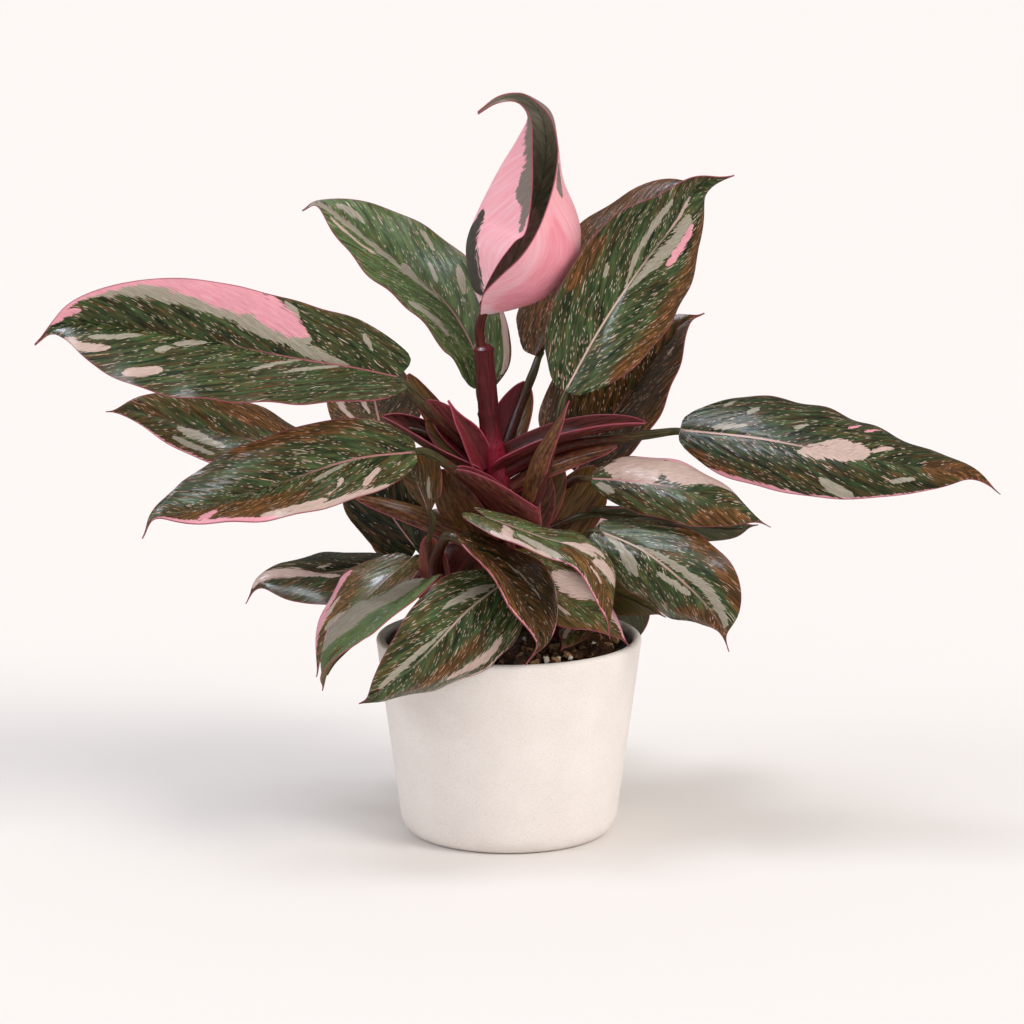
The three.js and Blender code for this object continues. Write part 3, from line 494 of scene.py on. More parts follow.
SHEATH_SKIN = StalkFinish(
    # Sheaths: thin glossy maroon-brown troughs, crimson at the foot and along the pink margins.
    name="sheath_waxy_skin", flushed=Hues("#32100E", "#763832"), green=Hues("#46301A", "#8C6634"),
    streak="#240E0C", glow="#9A2A42", margin="#BE5E70", roughness=0.30, wax=0.35,
)
STEM_SKIN = StalkFinish(
    # Stem: burgundy and brown between the leaf scars.
    name="stem_skin", flushed=Hues("#360C12", "#6C1C24"), green=Hues("#3A1612", "#6E3024"),
    streak="#1C0808", glow="#B02A46", margin="#6E2A2C", roughness=0.30, wax=0.3,
)
STONEWARE = GrittyFinish(
    # Cover pot: unglazed, fine-grained cream stoneware, matt to the eye with faint iron specks.
    name="stoneware_unglazed", body=Hues("#EBE3DD", "#F7F1ED"), specks="#DCCFC0", speck_size=0.4,
    speck_share=0.14, grit=0.6, relief=0.16, roughness=0.78, specular=0.35,
)
NURSERY_PLASTIC = GrittyFinish(
    # Nursery pot: injection-moulded black polypropylene with a faint haze of dust.
    name="polypropylene_moulded", body=Hues("#17191A", "#26282A"), specks="#4A4640", speck_size=0.4,
    speck_share=0.1, grit=0.8, relief=0.03, roughness=0.48,
)
PEAT = GrittyFinish(
    # Fine peat between the chips, nearly black and crumbly.
    name="peat_crumb", body=Hues("#160E08", "#302016"), specks="#6E5440", speck_size=0.5,
    speck_share=0.3, grit=1.2, relief=0.7, roughness=0.92,
)
BARK = GrittyFinish(
    # Composted pine bark: dark brown flakes with tan broken faces.
    name="pine_bark_composted", body=Hues("#2E1C12", "#6B4A30"), specks="#A07C56", speck_size=0.8,
    speck_share=0.3, grit=0.9, relief=0.4, roughness=0.85,
)
TAN_BARK = GrittyFinish(
    # Fresh bark chips, broken open and tan.
    name="pine_bark_fresh", body=Hues("#7A5636", "#C29C70"), specks="#3A2416", speck_size=0.7,
    speck_share=0.3, grit=0.8, relief=0.3, roughness=0.8,
)
PERLITE = GrittyFinish(
    # Perlite: puffed volcanic glass, chalk white and pitted.
    name="perlite_puffed", body=Hues("#DDD2C2", "#F6EDE0"), specks="#A8A196", speck_size=0.3,
    speck_share=0.3, grit=0.5, relief=0.25, roughness=0.85,
)


# ---- mesh helpers ----
WELD_REACH = 0.002  # points closer than this are merged, mm


def select_only(*pieces: Piece) -> None:
    """Leaves these pieces selected and nothing else, the first one active.

    Args:
        *pieces: The pieces, at least one.
    """
    bpy.ops.object.select_all(action="DESELECT")
    for piece in pieces:
        piece.select_set(True)
    bpy.context.view_layer.objects.active = pieces[0]


def apply_modifier(piece: Piece, kind: str, **settings: object) -> None:
    """Adds a modifier with these settings to a piece and applies it.

    Args:
        piece: Piece to change.
        kind: Type of the modifier.
        **settings: Its properties.
    """
    select_only(piece)
    modifier = piece.modifiers.new(kind, kind)
    for name, value in settings.items():
        setattr(modifier, name, value)
    bpy.ops.object.modifier_apply(modifier=modifier.name)


def smooth(piece: Piece, degrees: float = 40.0) -> None:
    """Shades a piece smooth, with edges sharper than this kept crisp."""
    select_only(piece)
    bpy.ops.object.shade_smooth_by_angle(angle=math.radians(degrees))


def weld(piece: Piece) -> None:
    """Merges points that coincide and turns all faces outwards.

    Args:
        piece: Closed piece.
    """
    select_only(piece)
    bpy.ops.object.mode_set(mode="EDIT")
    bpy.ops.mesh.select_all(action="SELECT")
    bpy.ops.mesh.remove_doubles(threshold=WELD_REACH * MM)
    bpy.ops.mesh.normals_make_consistent(inside=False)
    bpy.ops.object.mode_set(mode="OBJECT")


def join(name: str, pieces: list[Piece]) -> Piece:
    """Joins pieces into one object of this name.

    Args:
        name: Name of the joined piece.
        pieces: The pieces, at least one.

    Returns:
        The joined piece.
    """
    select_only(*pieces)
    if len(pieces) > 1:
        bpy.ops.object.join()
    pieces[0].name = name
    return pieces[0]


def dress(piece: Piece, *materials: Material) -> None:
    """Gives a piece its materials, in the order of its material indices.

    Args:
        piece: Piece to dress.
        *materials: Its materials.
    """
    piece.data.materials.clear()
    for material in materials:
        piece.data.materials.append(material)


def settle(piece: Piece, node: str | None = None, slot: str | None = None) -> None:
    """Hangs a finished piece on the frame and reports it.

    Args:
        piece: Finished piece.
        node: CAD node that it stands for, if any.
        slot: Record slot that its finish comes from; not used.
    """
    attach(piece, BODY)
    if node:
        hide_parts(node)
    log.info("%s: %d faces, stands for %s", piece.name, len(piece.data.polygons), node)


SPAN_STEPS = 32  # a curve runs in this many steps between two given points


def unit(vectors: Array) -> Array:
    """Scales the vectors of the last axis to length one."""
    return vectors / np.linalg.norm(vectors, axis=-1, keepdims=True)


def curve_through(points: Points | Array, shares: Array) -> tuple[Array, Array, float]:
    """Runs a curve with even steps through given points.

    Args:
        points: Points in order.
        shares: Shares of the curve's length, 0 to 1.

    Returns:
        Places, directions and the curve's length.
    """
    given = np.asarray(points, float)
    ends = np.vstack([2 * given[0] - given[1], given, 2 * given[-1] - given[-2]])
    steps = np.linspace(0, 1, SPAN_STEPS + 1)[:, None]
    runs = []
    for a, b, c, d in zip(ends[:-3], ends[1:-2], ends[2:-1], ends[3:]):
        runs.append(0.5 * (2 * b + (c - a) * steps + (2 * a - 5 * b + 4 * c - d) * steps ** 2
                           + (3 * b - a - 3 * c + d) * steps ** 3))
    dense = np.vstack([run[:-1] for run in runs] + [given[-1:]])
    travelled = np.concatenate([[0], np.cumsum(np.linalg.norm(np.diff(dense, axis=0), axis=1))])
    wanted = np.asarray(shares) * travelled[-1]
    places = np.stack([np.interp(wanted, travelled, dense[:, k]) for k in range(3)], -1)
    slopes = unit(np.gradient(dense, travelled, axis=0))
    directions = unit(np.stack([np.interp(wanted, travelled, slopes[:, k]) for k in range(3)], -1))
    return places, directions, float(travelled[-1])


BOX_MARGIN = 0.35  # a sheet's middle stays this far inside the CAD model's box, mm
BOX_LOW = np.array(cad_box[0]) / MM + (BOX_MARGIN, BOX_MARGIN, 0.0)
BOX_HIGH = np.array(cad_box[1]) / MM - BOX_MARGIN


class SheetMesh:
    """A grid primitive bent over rows of points, with values carried on its points."""

    def __init__(self, name: str, points: Array) -> None:
        """Adds the grid.

        Args:
            name: Name of the piece.
            points: Rows by columns by 3, in millimetres. A face looks along column x row.
        """
        rows, columns = points.shape[:2]
        bpy.ops.object.select_all(action="DESELECT")
        bpy.ops.mesh.primitive_grid_add(x_subdivisions=columns - 1, y_subdivisions=rows - 1, size=2.0)
        self.piece = bpy.context.object
        self.piece.name = name
        places = np.empty(len(self.piece.data.vertices) * 3)
        self.piece.data.vertices.foreach_get("co", places)
        places = places.reshape(-1, 3)
        points = np.clip(points, BOX_LOW, BOX_HIGH)
        self.row = np.rint((places[:, 1] + 1) / 2 * (rows - 1)).astype(int)
        self.column = np.rint((places[:, 0] + 1) / 2 * (columns - 1)).astype(int)
        self.piece.data.vertices.foreach_set("co", (points[self.row, self.column] * MM).ravel())
        self.piece.data.update()

    def carry(self, name: str, *values: Array) -> None:
        """Stores up to three values on each point as one vector attribute.

        Args:
            name: Name of the attribute.
            *values: Grids of values, one for each axis.
        """
        stacked = np.zeros((len(self.row), 3))
        for axis, value in enumerate(values):
            stacked[:, axis] = value[self.row, self.column]
        attribute = self.piece.data.attributes.new(name, "FLOAT_VECTOR", "POINT")
        attribute.data.foreach_set("vector", stacked.ravel())


# ---- blades ----
SHOULDER_POWER = 0.62    # how early a blade fills out towards its widest place
TIP_HALF_WIDTH = 1.2     # mm
TIP_START = 0.85         # the drip tip draws in from this share of the length
TIP_DRAW = 0.75          # and loses this much of its width by the end
TIP_BLEND = 0.6          # from here on the outline is eased into the drip tip
LOBE_REACH = 0.35        # share of the blade in which the base lobes fade out
ROUND_REACH = 0.2        # and in which its corners are rounded off
OUTLINE_STEPS = 400      # steps in which an outline is worked out
BLUR_STEPS = 30          # and how many of them it is eased over at the tip
BLADE_THICKNESS = 0.5    # mm
BLADE_CREASE = 50.0      # degrees from which an edge stays crisp
BLADE_STEP = 1.4         # mesh size on a blade, mm
VEIN_LEAN = 1.6          # how far a side vein runs forward as it leaves the midrib
VEIN_BEND = 0.8          # and how much more it does so at the margin
VEIN_NARROWEST = 8.0     # a narrower half bends its veins as one of this width, mm
QUILT_HEIGHT = 0.5       # the tissue bulges this far between the side veins, mm
QUILT_FADE = 5.0         # less so within these millimetres of the margin and the midrib
GROOVE_DEPTH = 0.5       # the midrib lies this deep, mm
GROOVE_HALF = 1.2        # and is about this wide to each side, mm
GROOVE_FREE = 1.5        # no bulge within this distance of it, mm
WAVE_OFFSET = 0.37       # the two margins' waves differ by this share of a wave
PATTERN_SHIFT = 320.0    # each blade's pattern starts this much further along, mm
EDGE_BRONZE = 1.2        # how much more bronze there is at the margin
EDGE_REACH = 6.0         # fading over these millimetres
FLUSH_WARMTH = 0.5       # bronze that a flush adds
FLUSH_REACH = 0.4        # and how far out of its streak it starts, in field units
MARK_STEPS = 8           # a mark follows the blade's own lines in this many steps
FIELD_REACH = 6.0        # a wide sector's field fades over this many millimetres
SMALL_REACH = 1.6        # and a thin streak's over these
WIDTH_REACH = 1.4        # between the two it fades over this many half widths
SPINDLE_END = 0.04       # how blunt the ends of a streak are
SPINDLE_POWER = 0.35     # and how quickly it swells from them


class Tint(Enum):
    """Tissue colours of a variegated blade, by their place in the sector attribute."""

    PINK = 0
    SILVER = 1
    CREAM = 2
    BRONZE = 3  # only a flush over the green


@dataclass(frozen=True)
class Mark:
    """A tapered streak of one tissue colour, between two places on a blade."""

    tint: Tint
    start: Pair   # share of the length, share of the half width (right is positive)
    end: Pair
    halves: Pair  # half width at the start and at the end, mm


@dataclass(frozen=True)
class Variegation:
    """How one blade is coloured."""

    bronze: float = 0.25
    light: float = 0.3
    flecks: float = 0.5
    marks: tuple[Mark, ...] = ()
    rib: Triple = (1.0, 0.5, 0.2)  # midrib: strength, reach along it, paleness


def along_veins(x: Array, y: Array, width: Array) -> Array:
    """Returns where along the midrib the side vein through each point starts."""
    return x - (VEIN_LEAN * y + VEIN_BEND * y ** 2 / np.maximum(width, VEIN_NARROWEST))


@dataclass(frozen=True)
class Blade:
    """One leaf blade: its midrib, outline and the curl of its two halves."""

    midrib: Points
    width: float
    facing: Points       # where the upper side faces, at the foot and at the tip
    peak: float = 0.42   # share of the length at the widest place
    base: float = 0.5    # width share at the foot
    tail: float = 0.07   # share of the length that the drip tip takes
    point: float = 0.75  # how slender the front part is
    lobe: float = 0.05   # how far the base lobes reach back, as a share of the length
    left_lobe: float = 1.0      # the left base lobe as a share of the right one
    round: float = 0.5          # how much its corners are rounded off
    halves: Pair = (1.0, 1.0)   # width of its left and its right half
    rise: Pair = (0.25, 0.25)   # how steeply they leave the midrib, radians
    roll: Pair = (-0.6, -0.6)   # and how far they turn up from there to the margin, down below 0
    wave: float = 1.0           # height of the margin's waves, mm
    wave_length: float = 32.0   # mm

    def frames(self, shares: Array) -> tuple[Array, Array, Array, Array, float]:
        """Places, directions, upper normals and right sides along the midrib, and its length.

        Args:
            shares: Shares of the length.

        Returns:
            The four as rows of vectors, and the length in millimetres.
        """
        places, along, length = curve_through(self.midrib, shares)
        first, last = unit(np.asarray(self.facing, float))
        facing = first + (last - first) * np.asarray(shares)[:, None]
        up = unit(facing - (facing * along).sum(-1, keepdims=True) * along)
        return places, along, up, unit(np.cross(along, up)), length

    def outline(self, shares: Array) -> Array:
        """Width share along the length: round lobes, a widest place and a drip tip.

        Args:
            shares: Shares of the length.

        Returns:
            Width at each, 0 to 1.
        """
        swell = np.sin(math.pi / 2 * np.clip(shares / self.peak, 0, 1) ** SHOULDER_POWER)
        fall = np.clip((shares - self.peak) / (1 - self.tail - self.peak), 0, 1)
        drawn = np.maximum(0, np.cos(math.pi / 2 * fall)) ** self.point
        return np.where(shares < self.peak, self.base + (1 - self.base) * swell, drawn)

    def half_widths(self, shares: Array) -> Array:
        """Half width at shares of the length, before each half's own factor.

        Args:
            shares: Shares of the length.

        Returns:
            Half widths, mm.
        """
        fine = np.linspace(0, 1, OUTLINE_STEPS + 1)
        tip = 1 - TIP_DRAW * np.maximum(0, (fine - TIP_START) / (1 - TIP_START))
        plain = np.maximum(self.width / 2 * self.outline(fine), TIP_HALF_WIDTH * tip)
        window = np.exp(-np.linspace(-2, 2, 2 * BLUR_STEPS + 1) ** 2)
        drawn = np.convolve(np.pad(plain, BLUR_STEPS, mode="edge"), window / window.sum(), "valid")
        late = np.clip((fine - TIP_BLEND) / (TIP_START - TIP_BLEND), 0, 1)
        return np.interp(shares, fine, plain + (drawn - plain) * late)

    def surface(self, shares: Array, spread: Array, relief: float = 1.0) -> tuple[Array, dict[str, Array]]:
        """Middle surface of the blade with its fine relief.

        Args:
            shares: Shares of the length, one for each row.
            spread: -1 at the left margin to 1 at the right one, one for each column.
            relief: Factor on grooves, quilting and margin waves.

        Returns:
            Points in millimetres, and grids of the values x, y, q and edge.
        """
        places, along, up, side, length = self.frames(shares)
        right = (spread > 0).astype(int)
        t = np.abs(spread)[None, :]
        half = self.half_widths(shares)[:, None]
        rise = np.asarray(self.rise)[right][None, :]
        roll = np.asarray(self.roll)[right][None, :]
        width = half * np.asarray(self.halves)[right][None, :]
        out = width * (np.sin(rise + roll * t) - np.sin(rise)) / roll
        lift = width * (np.cos(rise) - np.cos(rise + roll * t)) / roll
        fade = np.maximum(0, 1 - shares / LOBE_REACH)[:, None] ** 1.5
        corner = self.round * half * np.maximum(0, 1 - shares / ROUND_REACH)[:, None] ** 2
        lobe = self.lobe * length * np.where(right, 1.0, self.left_lobe)
        shift = corner * t ** 4 - lobe * (1 - (1 - t) ** 2) * fade
        x = shares[:, None] * length + shift
        y = width * t
        edge = np.minimum(width - y, (1 - shares)[:, None] * length + 1.0)
        q = along_veins(x, y, width) + np.where(right, 0, VEIN_STEP / 2)
        inner = np.clip(edge / QUILT_FADE, 0, 1) * np.clip((y - GROOVE_FREE) / QUILT_FADE, 0, 1)
        quilt = QUILT_HEIGHT * np.abs(np.sin(math.pi * q / VEIN_STEP)) * inner
        groove = -GROOVE_DEPTH * np.exp(-(y / GROOVE_HALF) ** 2)
        phase = 2 * math.pi * (x / self.wave_length + WAVE_OFFSET * right)
        swing = np.sin(math.pi * np.clip(shares, 0, 1))[:, None] * t ** 3
        height = relief * (quilt + groove + self.wave * np.sin(phase) * swing)
        angle = rise + roll * t
        sign = np.sign(spread)[None, :]
        lean = -np.sin(angle) * sign
        points = (places[:, None] + side[:, None] * (sign * out + lean * height)[..., None]
                  + up[:, None] * (lift + np.cos(angle) * height)[..., None]
                  + along[:, None] * shift[..., None])
        return points, {"x": x + 0 * y, "y": y * sign, "q": q, "edge": edge}


def sector_fields(marks: tuple[Mark, ...], x: Array, y: Array,
                  place: Callable[[float, float], Pair]) -> list[Array]:
    """Distance fields of the sector colours.

    Args:
        marks: Streaks of the blade.
        x: Millimetres along the midrib at each point.
        y: Signed millimetres across it.
        place: Turns a length share and a width share into (x, y).

    Returns:
        One grid for each tint, 1 well inside a sector and -1 well outside.
    """
    fields = [np.full(x.shape, -1.0) for _ in Tint]
    for mark in marks:
        way = np.linspace(mark.start, mark.end, MARK_STEPS + 1)
        way = np.array([place(along, across) for along, across in way])
        distance = np.full(x.shape, np.inf)
        share = np.zeros(x.shape)
        for step, (first, last) in enumerate(zip(way[:-1], way[1:])):
            run = last - first
            reach = max(float(run @ run), 1e-6)
            walked = np.clip(((x - first[0]) * run[0] + (y - first[1]) * run[1]) / reach, 0, 1)
            away = np.hypot(x - first[0] - walked * run[0], y - first[1] - walked * run[1])
            share = np.where(away < distance, (step + walked) / MARK_STEPS, share)
            distance = np.minimum(distance, away)
        spindle = (SPINDLE_END + 4 * share * (1 - share)) ** SPINDLE_POWER
        width = (mark.halves[0] + (mark.halves[1] - mark.halves[0]) * share) * spindle
        inside = (width - distance) / np.clip(WIDTH_REACH * width, SMALL_REACH, FIELD_REACH)
        field = fields[mark.tint.value]
        np.maximum(field, np.clip(inside, -1, 1), out=field)
    return fields


def thicken(piece: Piece, upper: Material, under: Material, edge: Material) -> None:
    """Makes a closed blade of a bent sheet.

    Args:
        piece: The sheet.
        upper: Skin of the side that it faces.
        under: Skin of the other side.
        edge: Skin of the cut-thin margin.
    """
    dress(piece, upper, under, edge)
    apply_modifier(piece, "SOLIDIFY", thickness=BLADE_THICKNESS * MM, offset=0.0, material_offset=1,
                   material_offset_rim=2)
    smooth(piece, BLADE_CREASE)


@dataclass
class Foliage:
    """All the grown blades, each one closed thin sheet with an upper and an under side."""

    blades: dict[str, Blade]
    colours: dict[str, Variegation]
    upper: Material
    under: Material
    edge: Material

    def build_blade(self, number: int, name: str) -> Piece:
        """Models one blade.

        Args:
            number: Its place in the table, which shifts its patterns.
            name: Its name in the table.

        Returns:
            The finished piece.
        """
        blade = self.blades[name]
        colour = self.colours.get(name, Variegation())
        length = blade.frames(np.array([0.0, 1.0]))[4]
        rows = max(16, round(length / BLADE_STEP))
        columns = 2 * max(6, round(blade.width * 0.55 / BLADE_STEP))
        points, grid = blade.surface(np.linspace(0, 1, rows + 1), np.linspace(-1, 1, columns + 1))
        sheet = SheetMesh(f"blade_{name}", points)

        def place(along: float, across: float) -> Pair:
            """Turns a mark's shares into millimetres on the blade."""
            half = float(blade.half_widths(np.array([along]))[0]) * blade.halves[int(across > 0)]
            return along * length, across * half

        *sectors, flush = sector_fields(colour.marks, grid["x"], grid["y"], place)
        sheet.carry("sector", *sectors)
        sheet.carry("blade", grid["q"] + PATTERN_SHIFT * number, grid["y"], grid["edge"])
        warm = (colour.bronze * (1 + EDGE_BRONZE * np.exp(-grid["edge"] / EDGE_REACH))
                + FLUSH_WARMTH * np.clip(flush + FLUSH_REACH, 0, 1))
        flat = np.ones_like(warm)
        sheet.carry("tone", warm, flat * colour.light, flat * colour.flecks)
        strength, reach, pale = colour.rib
        fading = np.clip(strength * 2 * (1 - grid["x"] / length / reach), 0, strength)
        sheet.carry("rib", fading, flat * pale)
        thicken(sheet.piece, self.upper, self.under, self.edge)
        return sheet.piece

    def build(self) -> None:
        """Builds every blade and hangs it in the place of its node."""
        for number, name in enumerate(self.blades):
            settle(self.build_blade(number, name), f"leaf_{name}", "leaf_tissue")


@dataclass
class RolledLeaf:
    """The newest leaf, still half unrolled, carried by five rails from its foot to its tip."""

    rails: tuple[Points, ...]
    colour: Variegation
    inside: Material
    outside: Material
    edge: Material
    rows: int = 132
    columns: int = 88
    number: int = 31          # its place after the grown blades, which shifts its patterns
    foot_light: float = 0.6   # how much lighter its green is at the foot
    foot_share: float = 0.12  # and over which share of the length that fades
    rib: float = 0.5          # strength of its midrib

    def across(self, rails: Array, share: float) -> Array:
        """Points at one share of the way across all rails.

        Args:
            rails: Rails by rows by 3.
            share: 0 at the left margin, 1 at the right one.

        Returns:
            One point for each row.
        """
        ends = np.concatenate([2 * rails[:1] - rails[1:2], rails, 2 * rails[-1:] - rails[-2:-1]])
        span = min(int(share * (len(rails) - 1)), len(rails) - 2)
        t = share * (len(rails) - 1) - span
        a, b, c, d = ends[span:span + 4]
        pairs = ((a, b), (b, c), (c, d))
        root = [np.linalg.norm(q - p, axis=-1, keepdims=True) ** 0.5 + 1e-6 for p, q in pairs]
        start = ((b - a) / root[0] - (c - a) / (root[0] + root[1]) + (c - b) / root[1]) * root[1]
        end = ((c - b) / root[1] - (d - b) / (root[1] + root[2]) + (d - c) / root[2]) * root[1]
        return ((2 * b - 2 * c + start + end) * t ** 3 + (3 * c - 3 * b - 2 * start - end) * t ** 2
                + start * t + b)

    def build(self) -> None:
        """Models the sheet and hangs it in the place of its node."""
        shares = np.linspace(0, 1, self.rows + 1)
        runs = [curve_through(rail, shares) for rail in self.rails]
        rails = np.stack([run[0] for run in runs])
        length = runs[2][2]
        points = np.stack([self.across(rails, u) for u in np.linspace(0, 1, self.columns + 1)], axis=1)
        steps = np.linalg.norm(np.diff(points, axis=1), axis=-1)
        walked = np.concatenate([np.zeros((len(points), 1)), np.cumsum(steps, axis=1)], axis=1)
        middle = self.columns // 2
        centre = walked[:, middle:middle + 1]
        y = walked - centre
        width = np.where(y > 0, walked[:, -1:] - centre, centre)
        x = np.repeat(shares[:, None] * length, self.columns + 1, axis=1)
        edge = np.minimum(width - np.abs(y), (1 - shares)[:, None] * length + 1)
        sheet = SheetMesh("blade_rolled", points)

        def place(along: float, across: float) -> Pair:
            """Turns a mark's shares into millimetres on the sheet."""
            row = min(int(along * self.rows), self.rows)
            return along * length, across * float(width[row, 0 if across < 0 else -1])

        *sectors, flush = sector_fields(self.colour.marks, x, y, place)
        sheet.carry("sector", *sectors)
        sheet.carry("blade", along_veins(x, np.abs(y), width) + PATTERN_SHIFT * self.number, y, edge)
        warm = self.colour.bronze + FLUSH_WARMTH * np.clip(flush + FLUSH_REACH, 0, 1)
        flat = np.ones_like(warm)
        pale = self.colour.light + self.foot_light * np.exp(-x / length / self.foot_share)
        sheet.carry("tone", warm, pale, flat * self.colour.flecks)
        sheet.carry("rib", flat * self.rib)
        thicken(sheet.piece, self.inside, self.outside, self.edge)
        settle(sheet.piece, "leaf_rolled", "pink_leaf_tissue")


# ---- shoots ----
SEAT_RUN = 6.0           # straight length of petiole before the blade's foot, mm
SEAT_GAP = 0.6           # a petiole lies this far below the blade there, mm
SEAT_BEFORE = 1.5        # it turns into the blade this far before its foot, mm
SEAT_BEYOND = 3.5        # and ends this far beyond it, mm
SHEATH_THICKNESS = 0.6   # mm
SHEATH_ROWS = 48
SHEATH_COLUMNS = 32
SHEATH_RELIEF = 0.3      # height of its veins and groove, as a share of a blade's
SHEATH_FLUSH = 12.0      # the crimson at its foot fades over these millimetres
STALK_SIDES = 20
STALK_SHIFT = 97.0       # the skin's pattern shifts by this from stalk to stalk, mm
SHEATH_SHIFT = 61.0      # and by this from sheath to sheath, mm
FAR_INSIDE = 9.0         # a stalk has no margin, so its skin lies this far from one, mm
CHANNEL_HALF = 0.5       # half width of the channel along a petiole, radians
SCAR_HALF = 0.06         # half width of a leaf scar, as a share of their distance
FOOT_DEPTH = 0.3         # how far a stalk's foot is drawn out, as a share of its radius
HEAD_HEIGHT = 0.6        # and its head
STALK_STEP = 1.6         # rings along a petiole lie this far apart, mm
MIDRIB_END = 0.9         # the raised midrib under a blade fades out here
GREENING = 1.6           # a petiole stays crimson for longer than it is olive
EASING = 24              # rounds of smoothing that take the kinks out of a petiole
EASED_STEPS = 40         # steps of the way on which that is done
MIDRIB_STEPS = 11        # and steps of the raised midrib
NODE_STEP = 17.0         # leaf scars ring the stem this far apart, mm


@dataclass(frozen=True)
class Petiole:
    """A leaf stalk: the blade it carries, its way from the stem and its radii at both ends."""

    leaf: str
    through: Points
    radii: tuple[float, ...]
    seat_gap: float = SEAT_GAP
    green: float = 0.9       # how olive it turns by its end, 0 to 1

    def keel(self) -> tuple[float, ...]:
        """Radii of its blade's midrib at even shares of it."""
        return self.radii[1] * 0.55, self.radii[1] * 0.42, 0.6, 0.35


@dataclass(frozen=True)
class Stem:
    """A stem from its foot in the soil: its points, and its radii and glow at even shares of it."""

    through: Points
    radii: tuple[float, ...]
    glow: tuple[float, ...] = (0.0, 0.0)


@dataclass(frozen=True)
class Sheath:
    """A short trough that grew with its petiole and stands open along its upper side."""

    blade: Blade
    greens: Pair = (0.0, 0.0)  # how brown its left and its right half are
    glows: Pair = (0.0, 0.0)   # and how crimson


